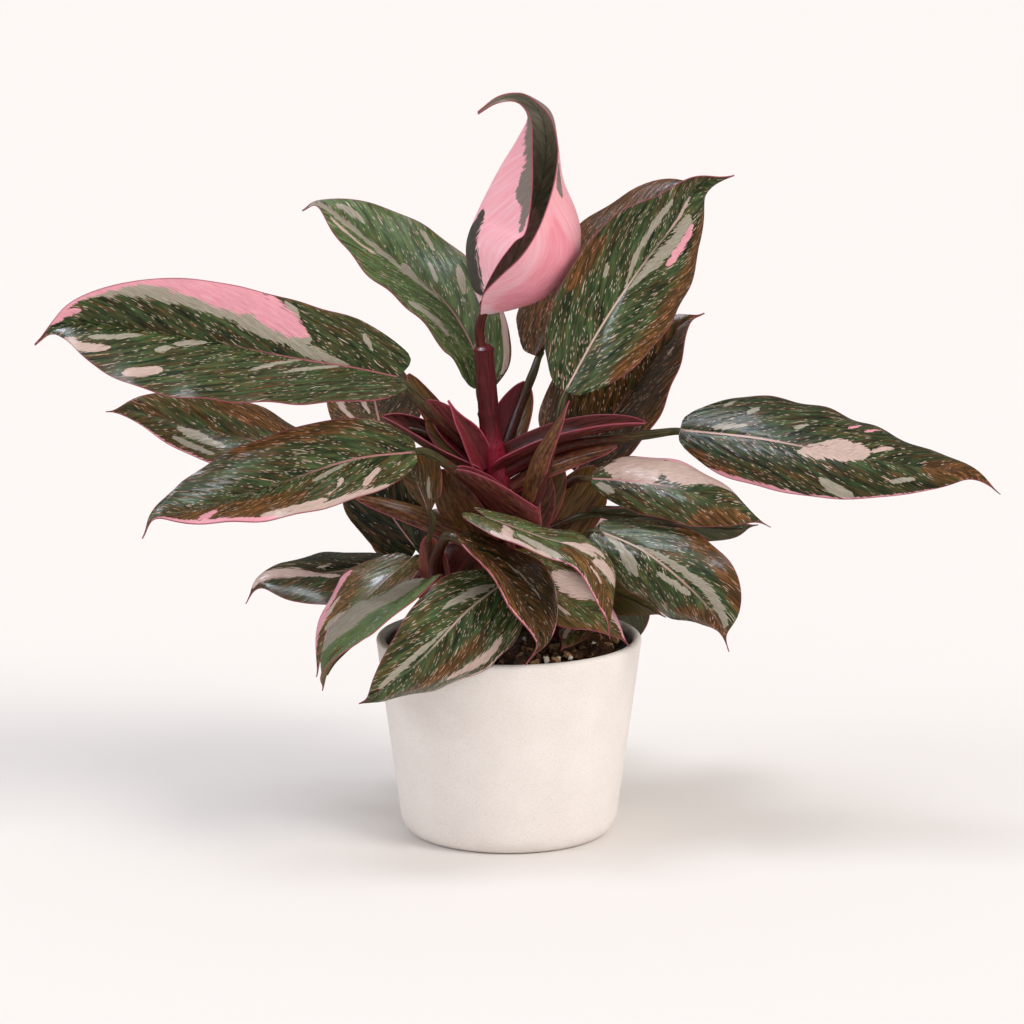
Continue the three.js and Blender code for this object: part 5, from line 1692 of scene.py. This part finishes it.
PETIOLES = {
    "main": (
        Petiole("rolled", ((-12, 2, 248), (-15, 1, 262), (-15, 1, 270), (-13, 0.5, 277)),
            (2.8, 2.7, 2.6, 2.2), green=0),
        Petiole("left_high", ((-9, 2, 195), (-27, 0, 211), (-44, -6, 228)), (3.6, 3.1)),
        Petiole("left_rear", ((-10, 4, 193), (-31, 8, 205), (-52, 14, 213)), (3.2, 2.4)),
        Petiole("left_back", ((-5, 6, 152), (-28, 20, 158), (-58, 38, 164)), (3.4, 2.4)),
        Petiole("left_low", ((2, -6, 168), (-11, -16, 182), (-29, -28, 200)), (4, 2.6), seat_gap=0.3),
        Petiole("top_left", ((-7, 6, 193), (-10, 13, 207), (-13, 14, 225)), (2.8, 2.2)),
        Petiole("top_right", ((3, -6, 163), (14, -18, 181), (20, -24, 201), (25, -28, 223)), (3.2, 2.2)),
        Petiole("top_right_back", ((-5, 6, 192), (0, 14, 207), (7, 20, 227)), (3.2, 2.4)),
        Petiole("right_high", ((-5, 0, 191), (14, -1, 202), (34, -2, 208), (63, -5, 212)), (4.4, 2.6)),
        Petiole("right_back", ((3, 4, 142), (19, 14, 156), (28, 28, 170)), (3, 2.4)),
        Petiole("right_mid", ((2, 8, 142), (18, 24, 160), (31, 20, 182)), (2.6, 2), green=0.6),
        Petiole("right_under", ((2, 5, 149), (20, 6, 160)), (2.8, 2)),
        Petiole("centre_right", ((-2, -6, 152), (-11, -26, 163), (-16, -44, 174)), (3, 2.2)),
        Petiole("front", ((-4, -4, 151), (0, -23, 162), (1, -42, 154)), (3, 2.4)),
        Petiole("centre_low", ((-5, -6, 131), (-8, -14, 145)), (2.6, 2)),
        Petiole("back_mid", ((-4, 6, 118), (1, 28, 138)), (3, 2.2)),
        Petiole("back_left", ((-8, 6, 116), (-16, 26, 130)), (2.8, 2.2)),
        Petiole("back_right", ((0, 6, 122), (14, 26, 134)), (2.8, 2.2)),
    ),
    "left": (
        Petiole("small", ((-38, -14, 127), (-40, -20, 147), (-42, -23, 163)), (2.6, 1.6)),
        Petiole("centre_down", ((-36, -16, 133), (-38, -32, 152), (-33, -48, 167)), (4.2, 2.6), green=0.7),
        Petiole("fold_top", ((-38, -12, 127), (-43, -1, 139)), (2.6, 2)),
        Petiole("fold_low", ((-38, -16, 125), (-33, -25, 138)), (2.6, 2)),
        Petiole("left_tip", ((-38, -8, 121), (-49, 14, 133)), (2.6, 2)),
        Petiole("left_dark", ((-38, -10, 130), (-42, 4, 141)), (2.6, 2)),
        Petiole("shade_left", ((-38, -6, 120), (-40, 24, 128)), (2.6, 2)),
    ),
    "right": (
        Petiole("right_low", ((27, -10, 126), (34, -11, 148), (40, -20, 163)), (3, 2.2)),
        Petiole("right_drop", ((27, -8, 120), (29, 7, 130)), (2.4, 1.8), seat_gap=0.8),
        Petiole("soil", ((27, -12, 111), (38, -16, 117)), (2, 1.2)),
        Petiole("shade_right", ((27, -8, 114), (29, 20, 108.5)), (2.6, 2)),
    ),
}

STEMS = {
    "main": Stem(((-5, 0, 62), (-5, 0, 92), (-5, 0, 120), (-5, 0, 155), (-6, 0, 192), (-9, 0, 209),
        (-11, 1, 230), (-13, 2, 257)), (9.5, 9.5, 9.5, 9, 6.6, 5.8, 5.4, 5),
        (0, 0, 0, 0, 0, 0, 0.3, 1.2, 0.2, 0, 0)),
    "left": Stem(((-38, -12, 62), (-38, -12, 92), (-38, -12, 112), (-38, -14, 134)), (6, 6, 5.6, 4)),
    "right": Stem(((27, -10, 62), (27, -10, 92), (27, -10, 108), (27, -10, 128)), (5.5, 5.5, 5, 3.6)),
}


def sheath(midrib: Points, width: float, facing: Points, roll: float, greens: Pair = (0.0, 0.0),
           glows: Pair = (0.0, 0.0), **shape: object) -> Sheath:
    """Returns a sheath with the shape that most of them share, apart from what is given.

    Args:
        midrib: Points along its back.
        width: Width of the sheet, mm.
        facing: Where it opens to, all along or at the foot and at the tip.
        roll: How far both halves turn up. Below 0 its back is turned to the side it faces.
        greens: How brown its left and its right half are.
        glows: How crimson they are.
        **shape: Other fields of its blade.

    Returns:
        The sheath.
    """
    usual = {"base": 0.85, "peak": 0.4, "tail": 0.0, "point": 0.5, "lobe": 0.0, "rise": (0.1, 0.1),
             "wave": 0.3}
    blade = Blade(midrib, width, (facing[0], facing[-1]), roll=(roll, roll), **(usual | shape))
    return Sheath(blade, greens, glows)


SHEATHS = {
    "main": (
        sheath(((-11, 2, 189), (-31, 4, 198), (-46, 8, 206.5), (-58, 11, 214), (-66, 13, 219)), 29,
            ((0.15, -0.35, 1), (0.15, -0.4, 1)), 1.4, (0.1, 0.1)),
        sheath(((-14, 5, 199), (-28, 5, 212), (-37, 5, 222), (-43, 5, 229)), 20, ((0.5, -0.8, 0.3),), 0.5,
            (0.2, 0.2), (0.35, 0.35)),
        sheath(((-12, 1, 196), (-24, 2, 204), (-34, 3, 212), (-43, 4, 219)), 19, ((0.4, -0.8, 0.4),), -0.6,
            (0.9, 0.9)),
        sheath(((-13, -3, 194), (-20, -6, 212), (-26, -8, 221.5), (-31.5, -9, 232)), 15,
            ((0.3, -0.9, 0.2),), 0.8, (0, 0), (0.4, 0.3), peak=0.3, tail=0.06, point=1.1),
        sheath(((-5, 11, 196), (0, 16, 212), (6, 21, 227), (9, 23, 236)), 24, ((-0.1, -0.95, 0.3),), 0.8,
            (0.1, 1), (0.7, 0)),
        sheath(((-8, -1, 192), (4, -3, 199.5), (23, -5, 208), (47, -7, 215), (71, -8, 219.5)), 26,
            ((-0.2, -0.2, 1), (-0.1, -0.25, 1)), 1.3, (0, 0.2), (0.1, 0.1)),
        sheath(((12, -12, 163), (9.5, -20, 182), (15, -28, 205), (26, -33, 226), (31, -34, 236.5)), 15,
            ((-0.35, -0.85, 0.3), (-0.5, -0.8, 0.2)), -1.2, (0.6, 0.5), (0.15, 0.05), base=0.75, tail=0.04,
            point=0.9, rise=(-0.1, -0.1)),
        sheath(((11, -11, 166), (-2, -18, 175), (-16, -24, 187), (-29.5, -28, 199)), 32, ((0.35, 0.1, 1),
            (0.35, 0, 1)), 1.5, (0.3, 0.2), (0.1, 0.2)),
        sheath(((24, 12, 155), (27, 16, 166), (29.5, 20, 175), (32, 24, 182)), 23, ((-0.2, -0.95, 0.2),),
            -0.9, (0.4, 0.3)),
        sheath(((-14, -2, 154), (-24, -6, 169), (-31, -9, 183), (-35, -11, 196)), 26, ((-0.5, -0.8, 0.3),),
            -0.6, (0.6, 0.5)),
        sheath(((-3, -1, 150), (-9, -3, 164), (-15, -4, 177), (-20, -5, 187)), 22, ((-0.3, -0.9, 0.3),),
            -0.8, (0, 0.1)),
        sheath(((-12, -4, 156), (-29, -4, 163), (-47, 0, 170), (-66, 6, 174.5), (-80, 8, 177)), 15,
            ((-0.1, -0.7, 0.7),), -1.2, (0.5, 0.6)),
        sheath(((4, 2, 154), (9, 3, 168), (14, 4, 180), (19, 5, 191)), 27, ((-0.1, -0.95, 0.2),), -0.7,
            (0.5, 0.4)),
        sheath(((0, -3, 186), (17, -7, 196), (36, -8, 203), (56, -9, 208)), 13, ((-0.2, -0.75, 0.65),),
            -1.3, (0.4, 0.5)),
        sheath(((-18, 12, 200), (-32, 16, 212), (-44, 20, 227), (-53, 24, 240)), 14, ((0.3, -0.9, 0.3),),
            -0.5, (0.8, 0.8)),
        sheath(((8, 6, 158), (17, 9, 172), (23, 11, 185), (26, 12, 196)), 19, ((-0.2, -0.95, 0.2),), -0.7,
            (0.9, 0.8)),
        sheath(((25, 10, 158), (33, 12, 169), (40, 14, 180), (46, 16, 192)), 30, ((-0.1, -0.95, 0.3),),
            -0.5, (0.9, 1)),
    ),
    "left": (
        sheath(((-38, -17, 128), (-40, -20, 147), (-42, -23, 163)), 18, ((-0.3, -0.9, 0.2),), -0.9,
            (0.8, 0.8), (0.5, 0.3)),
        sheath(((-36, -6, 118), (-32, -6, 132), (-26, -6, 144), (-20, -6, 154)), 36, ((-0.1, -0.95, 0.3),),
            -0.7, (0.1, 0.2)),
    ),
    "right": (),
}


def streaks(**rows: tuple[tuple[float, ...], ...]) -> tuple[Mark, ...]:
    """Returns the streaks of a blade.

    Args:
        **rows: For each tint its streaks: start and end in percent of the length and of the half width
            (right is positive), and the streak's own half width at both, mm.

    Returns:
        The marks.
    """
    marks = []
    for tint, group in rows.items():
        for along, across, end_along, end_across, *halves in group:
            start = (along / 100, across / 100)
            marks.append(Mark(Tint[tint.upper()], start, (end_along / 100, end_across / 100), tuple(halves)))
    return tuple(marks)


VARIEGATION = {
    "left_high": Variegation(0.08, 0.3, 0.6, streaks(silver=((14, 3, 30, 22, 1, 4), (26, 36, 46, 55, 5, 9),
        (44, 56, 88, 97, 8, 2), (30, 70, 34, 92, 4, 2), (17, -4, 34, -42, 1.8, 1.2),
        (27, -2, 42, -45, 1.6, 1.2), (53, -3, 61, -16, 2.5, 3), (62, -22, 66, -34, 1.5, 2),
        (70, -10, 84, -38, 1.5, 2), (8, 45, 11, 72, 1, 2)), cream=((64, -62, 74, -86, 3, 3),
        (78, -48, 91, -92, 2.5, 3)), pink=((27, 44, 42, 78, 4, 10), (40, 80, 74, 99, 12, 2.5),
        (68, 100, 95, 100, 3, 1.5), (86, 50, 93, 72, 1.5, 2))), (1, 0.5, 0)),
    "left_low": Variegation(0.1, 0.35, 0.95, streaks(silver=((22, -5, 38, -26, 0.8, 1.6),),
        cream=((14, -38, 22, -78, 1.5, 1.5), (28, -42, 31, -60, 1.2, 1), (12, -94, 56, -97, 2, 2.5),
        (36, -80, 58, -86, 1.5, 2)), pink=((54, -95, 93, -96, 2.5, 2), (71, -46, 77, -80, 2, 2.5)),
        bronze=((42, -55, 90, -60, 6, 8), (20, 92, 60, 92, 5, 3)))),
    "left_back": Variegation(0.15, 0.3, 0.6, streaks(silver=((52, -42, 71, -20, 2, 2.5),
        (55, -70, 72, -60, 1.5, 1.5)), pink=((52, -98, 95, -98, 0.8, 0.8),),
        bronze=((30, 60, 60, 70, 8, 6),))),
    "left_rear": Variegation(0.25, 0.15, 0.4, streaks(cream=((10, -18, 42, -30, 1, 1.2),
        (8, -60, 42, -74, 1.2, 1.6)))),
    "top_left": Variegation(0.04, 0.6, 0.6, streaks(silver=((33, 42, 41, 74, 1.8, 1.8),
        (42, 20, 49, 40, 1.4, 1.2), (48, -2, 56, 4, 1.5, 1.8), (76, 30, 88, 50, 1.5, 2),
        # The long silver streak below the midrib, from 36 to 96 percent of the length, is partly silver
        # tissue and partly a painted highlight: the wax's sheen along the midrib.
        (36, -10, 96, -16, 2.6, 4), (50, 66, 60, 86, 1.2, 1.2), (20, -60, 40, -83, 2, 2.5)),
        cream=((4, 80, 22, 95, 1.5, 2), (64, -36, 74, -55, 1, 1.2), (72, -50, 86, -64, 1.2, 1.2)))),
    "top_right": Variegation(0.06, 0.32, 0.85, streaks(silver=((42, 5, 76, 26, 1.5, 4.5),
        (42, -3, 77, -58, 1, 2.6), (40, -42, 44, -50, 1, 1)), cream=((66, 0, 82, 2, 0.6, 1.2),),
        pink=((58, 34, 74, 44, 2, 2.6),), bronze=((10, 90, 80, 90, 6, 8), (30, -85, 50, -85, 4, 4))),
        (1, 0.75, 0.7)),
    "top_right_back": Variegation(0.35, 0, 0.5, streaks(silver=((20, -8, 24, -20, 1.2, 1),),
        cream=((40, -12, 52, -26, 0.9, 1),))),
    "right_back": Variegation(0.22, 0, 0.5, streaks(cream=((69, 50, 75, 60, 1, 1),),
        bronze=((80, 60, 90, 40, 6, 5),))),
    "right_high": Variegation(0.08, 0.2, 0.6, streaks(silver=((45, 60, 55, 98, 2, 4),
        (65, 60, 72, 52, 1.2, 1.4), (10, -10, 20, -22, 1.7, 1.4), (19, -45, 22, -62, 1.5, 1.8),
        (11, -66, 14, -82, 1.5, 1.5), (34, -28, 38, -44, 1.3, 1.3)), cream=((37, 14, 57, -12, 3, 7.5),
        (44, -12, 52, -26, 3, 2.5), (58, -15, 65, -38, 1.6, 1.6)), pink=((50, -58, 54, -80, 0.8, 1),
        (55, -60, 60, -84, 1, 1), (10, 97, 42, 99, 2.2, 1.4), (30, 99, 80, 99, 0.8, 0.6)),
        bronze=((2, 85, 20, 90, 5, 5), (75, 10, 98, 0, 7, 4))), (1, 0.55, 0.5)),
    "right_mid": Variegation(0.1, 0.3, 0.7, streaks(silver=((3, 30, 13, 50, 1.8, 2.2),),
        cream=((8, -40, 36, -52, 6, 13), (36, -52, 76, -92, 13, 3)), pink=((20, -98, 72, -100, 2.5, 2),),
        bronze=((60, 85, 85, 40, 5, 5),))),
    "right_under": Variegation(0.1, 0.2, 0.2),
    "right_low": Variegation(0.08, 0.35, 0.85, streaks(silver=((2, 2, 18, 26, 0.8, 2.5),
        (18, 28, 33, 54, 3.5, 2), (40, 22, 62, 10, 1.2, 1.8), (22, -3, 86, -34, 0.8, 3.2)),
        bronze=((62, 60, 90, 20, 5, 8), (35, -90, 80, -80, 4, 5))), (0.8, 0.9, 0.6)),
    "right_drop": Variegation(0.6, 0.75, 0.2),
    "centre_right": Variegation(0.1, 0.5, 0.6, streaks(silver=((22, 55, 47, 88, 2, 2.2),),
        cream=((12, 30, 20, 88, 2, 3.5), (10, 97, 42, 97, 2, 2.5), (36, 12, 58, -22, 1.5, 3),
        (50, -25, 62, -62, 2.5, 1.5), (60, -5, 75, -75, 3, 4), (61, 42, 71, 32, 1.2, 1.2)),
        pink=((42, 99, 95, 99, 0.8, 0.8),), bronze=((45, 50, 95, 20, 5, 6),))),
    "centre_down": Variegation(0.22, -0.1, 0.35, streaks(silver=((25, -18, 62, -34, 0.7, 0.7),),
        pink=((8, 99, 92, 99, 0.7, 0.7), (8, -99, 92, -99, 0.7, 0.7)))),
    "centre_low": Variegation(0.2, 0.45, 0.7, streaks(cream=((32, -40, 62, -45, 7, 9),
        (50, -65, 88, -80, 8, 4), (35, 35, 55, 60, 0.9, 0.9)), pink=((60, -90, 95, -95, 3, 2),))),
    "front": Variegation(0.08, 0.35, 1, streaks(silver=((5, 12, 37, 44, 2, 1.6), (40, 4, 86, 42, 0.9, 2.2)),
        cream=((18, -70, 34, -80, 1.5, 3), (30, -78, 58, -70, 3.5, 2), (20, -98, 95, -98, 1.2, 1)),
        bronze=((30, -45, 78, -50, 4, 4),)), (0.8, 0.75, 0.7)),
    "fold_top": Variegation(0.3, 0.9, 1, streaks(silver=((28, -88, 70, 38, 3, 5),),
        cream=((50, 60, 76, 74, 1.6, 2.2),), pink=((30, 86, 88, 97, 3, 4.5),),
        bronze=((30, 60, 80, 66, 8, 9),))),
    # fold_low's broad silver band is partly silver tissue and partly a painted highlight: the blue-grey sheen
    # over the blade.
    "fold_low": Variegation(0.05, 0.85, 0.4, streaks(silver=((2, 38, 78, 70, 9, 12),),
        pink=((45, 98, 92, 98, 1.2, 2),), bronze=((70, 0, 95, 0, 7, 5),))),
    "left_tip": Variegation(0.12, 0.2, 0.4, streaks(cream=((34, -25, 58, 8, 2.5, 3), (55, 12, 88, 45, 4, 4),
        (36, 22, 45, 16, 0.8, 0.8)), bronze=((20, -60, 40, -70, 5, 5),))),
    "left_dark": Variegation(0.1, 0, 0.1),
    "small": Variegation(0.3, 0.3, 0.3, streaks(silver=((15, 45, 45, 60, 1.5, 1),
        (25, -60, 40, -85, 1.5, 1.5)))),
    "shade_left": Variegation(0.05, 0.1, 0.1),
    "shade_right": Variegation(0.05, 0.1, 0.1),
    "soil": Variegation(0.2, 0.6, 0.5, streaks(cream=((20, 30, 70, 50, 1.2, 1.2),))),
    "back_mid": Variegation(0.12, 0.3, 0.6, streaks(silver=((20, 10, 60, 60, 2, 4),),
        cream=((30, -10, 45, -60, 2, 2),), pink=((45, -35, 75, -80, 3, 5),))),
    "back_left": Variegation(0.15, 0.25, 0.6, streaks(silver=((50, -10, 80, -50, 2.5, 2),),
        pink=((25, 30, 55, 85, 3, 6),))),
    "back_right": Variegation(0.12, 0.35, 0.6, streaks(silver=((35, 15, 75, 60, 2, 3),),
        cream=((20, -15, 50, -70, 3, 4),))),
}
ROLLED_COLOUR = Variegation(0, 0.25, 0.05, streaks(silver=((34, -95, 90, -95, 3, 5),
    (44, -88, 56, -84, 3, 2), (50, 80, 60, 84, 2.5, 2), (78, 55, 100, 30, 7, 6), (64, 97, 100, 90, 4, 6),
    (45, 30, 85, 32, 2, 4), (84, 0, 100, 0, 6, 6)), cream=((4, -70, 36, -54, 8, 4),),
    bronze=((8, 35, 40, 80, 16, 14), (8, 0, 42, 0, 10, 8))))


# ---- studio ----
@dataclass(frozen=True)
class SoftLight:
    """A broad, distant light, as from a large diffuser."""

    name: str
    source: Triple        # direction that it comes from
    spread: float         # degrees across, for soft shadows
    strength: float
    colour: str
    glint: bool = True    # whether polished surfaces show it
    shading: bool = True  # whether it lights matt ones


@dataclass(frozen=True)
class Studio:
    """Plain pale floor, even surrounding light, soft lights and the camera."""

    target: Triple = (1.6, 0.0, 171.0)  # mm
    distance: float = 2600.0      # mm from the camera to the target
    elevation: float = 11.8       # degrees that the camera looks down
    focal_pixels: float = 4971.0  # focal length in widths of a pixel
    frame_pixels: float = 1024.0  # width of the square frame in pixels
    floor_radius: float = 14.0    # m
    floor_sides: int = 96
    floor_paint: str = "#EDE9E7"
    surround: str = "#FBF7F3"
    surround_strength: float = 0.66
    gloss_strength: float = 0.16  # what polished surfaces see of the surround
    lights: tuple[SoftLight, ...] = (
        SoftLight("key_right", (0.8, -0.55, 0.75), 26.0, 1.4, "#FFF9F2", glint=False),
        SoftLight("top_left", (-0.3, 0.0, 1.0), 24.0, 0.88, "#F0F5FF"),
        SoftLight("side_left", (-0.9, -0.35, 0.55), 20.0, 0.45, "#E8F0FF"),
        SoftLight("window", (-0.45, 0.15, 1.0), 14.0, 0.9, "#DCEBFF", shading=False),
        SoftLight("softbox", (-0.35, -0.55, 1.0), 14.0, 0.5, "#EAF1FF", shading=False),
    )

    def build_floor(self) -> None:
        """Adds the floor and its matt paint."""
        bpy.ops.object.select_all(action="DESELECT")
        bpy.ops.mesh.primitive_circle_add(vertices=self.floor_sides, radius=self.floor_radius,
                                          fill_type="NGON")
        floor = bpy.context.object
        floor.name = "studio_floor"
        paint = bpy.data.materials.new("matt_white_paint")
        paint.use_nodes = True
        surface = paint.node_tree.nodes["Principled BSDF"]
        surface.inputs["Base Color"].default_value = linear(self.floor_paint)
        surface.inputs["Roughness"].default_value = 0.9
        surface.inputs["Specular IOR Level"].default_value = 0.1
        dress(floor, paint)
        floor.visible_glossy = False

    def build_lights(self) -> None:
        """Adds the surrounding light and the soft lights."""
        world = bpy.data.worlds.new("studio_surround")
        bpy.context.scene.world = world
        world.use_nodes = True
        background = world.node_tree.nodes["Background"]
        background.inputs["Color"].default_value = linear(self.surround)
        paths = world.node_tree.nodes.new("ShaderNodeLightPath")
        strength = world.node_tree.nodes.new("ShaderNodeMapRange")
        strength.inputs["To Min"].default_value = self.surround_strength
        strength.inputs["To Max"].default_value = self.gloss_strength
        world.node_tree.links.new(paths.outputs["Is Glossy Ray"], strength.inputs["Value"])
        world.node_tree.links.new(strength.outputs[0], background.inputs["Strength"])
        for light in self.lights:
            bpy.ops.object.light_add(type="SUN", location=light.source)
            lamp = bpy.context.object
            lamp.name = light.name
            lamp.rotation_euler = Vector(light.source).to_track_quat("Z", "Y").to_euler()
            lamp.data.angle = math.radians(light.spread)
            lamp.data.energy = light.strength
            lamp.data.color = linear(light.colour)[:3]
            lamp.visible_glossy = light.glint
            lamp.visible_diffuse = light.shading

    def build_camera(self) -> None:
        """Adds the camera and makes it the scene's."""
        tilt = math.radians(self.elevation)
        aim = Vector(self.target) * MM
        back = Vector((0.0, -math.cos(tilt), math.sin(tilt)))
        bpy.ops.object.camera_add(location=aim + back * self.distance * MM)
        camera = bpy.context.object
        camera.name = "studio_camera"
        camera.rotation_euler = (-back).to_track_quat("-Z", "Y").to_euler()
        camera.data.lens = camera.data.sensor_width * self.focal_pixels / self.frame_pixels
        camera.data.clip_end = 60.0
        bpy.context.scene.camera = camera

    def build(self) -> None:
        """Builds the studio."""
        self.build_floor()
        self.build_lights()
        self.build_camera()
        bpy.context.scene.view_settings.view_transform = "Standard"
        bpy.context.scene.view_settings.look = "None"


def main() -> None:
    """Builds the plant, its pots and the studio around the frame."""
    logging.basicConfig(level=logging.INFO, format="%(name)s: %(message)s")
    Studio().build()
    sizes = PotSizes()
    TurnedPot("cover_pot_turned", "cover_pot", "stoneware", sizes.cover_profile(),
              STONEWARE.build()).build()
    TurnedPot("nursery_pot_moulded", "nursery_pot", "nursery_plastic", sizes.liner_profile(),
              NURSERY_PLASTIC.build()).build()
    stems = tuple((*stem.through[0][:2], stem.radii[0]) for stem in STEMS.values())
    PottingMix(sizes, PEAT.build(), BARK.build(), TAN_BARK.build(), PERLITE.build(), stems).build()
    edge = LEAF_EDGE.build()
    Foliage(BLADES, VARIEGATION, LEAF_UPPER.build(), LEAF_UNDER.build(), edge).build()
    RolledLeaf(ROLLED, ROLLED_COLOUR, LEAF_ROLL_INSIDE.build(), LEAF_ROLL_OUTSIDE.build(), edge).build()
    skins = (PETIOLE_SKIN.build(), SHEATH_SKIN.build(), STEM_SKIN.build())
    for name, stem in STEMS.items():
        Shoot(name, stem, PETIOLES[name], SHEATHS[name], BLADES, *skins).build()


if __name__ == "__main__":
    main()
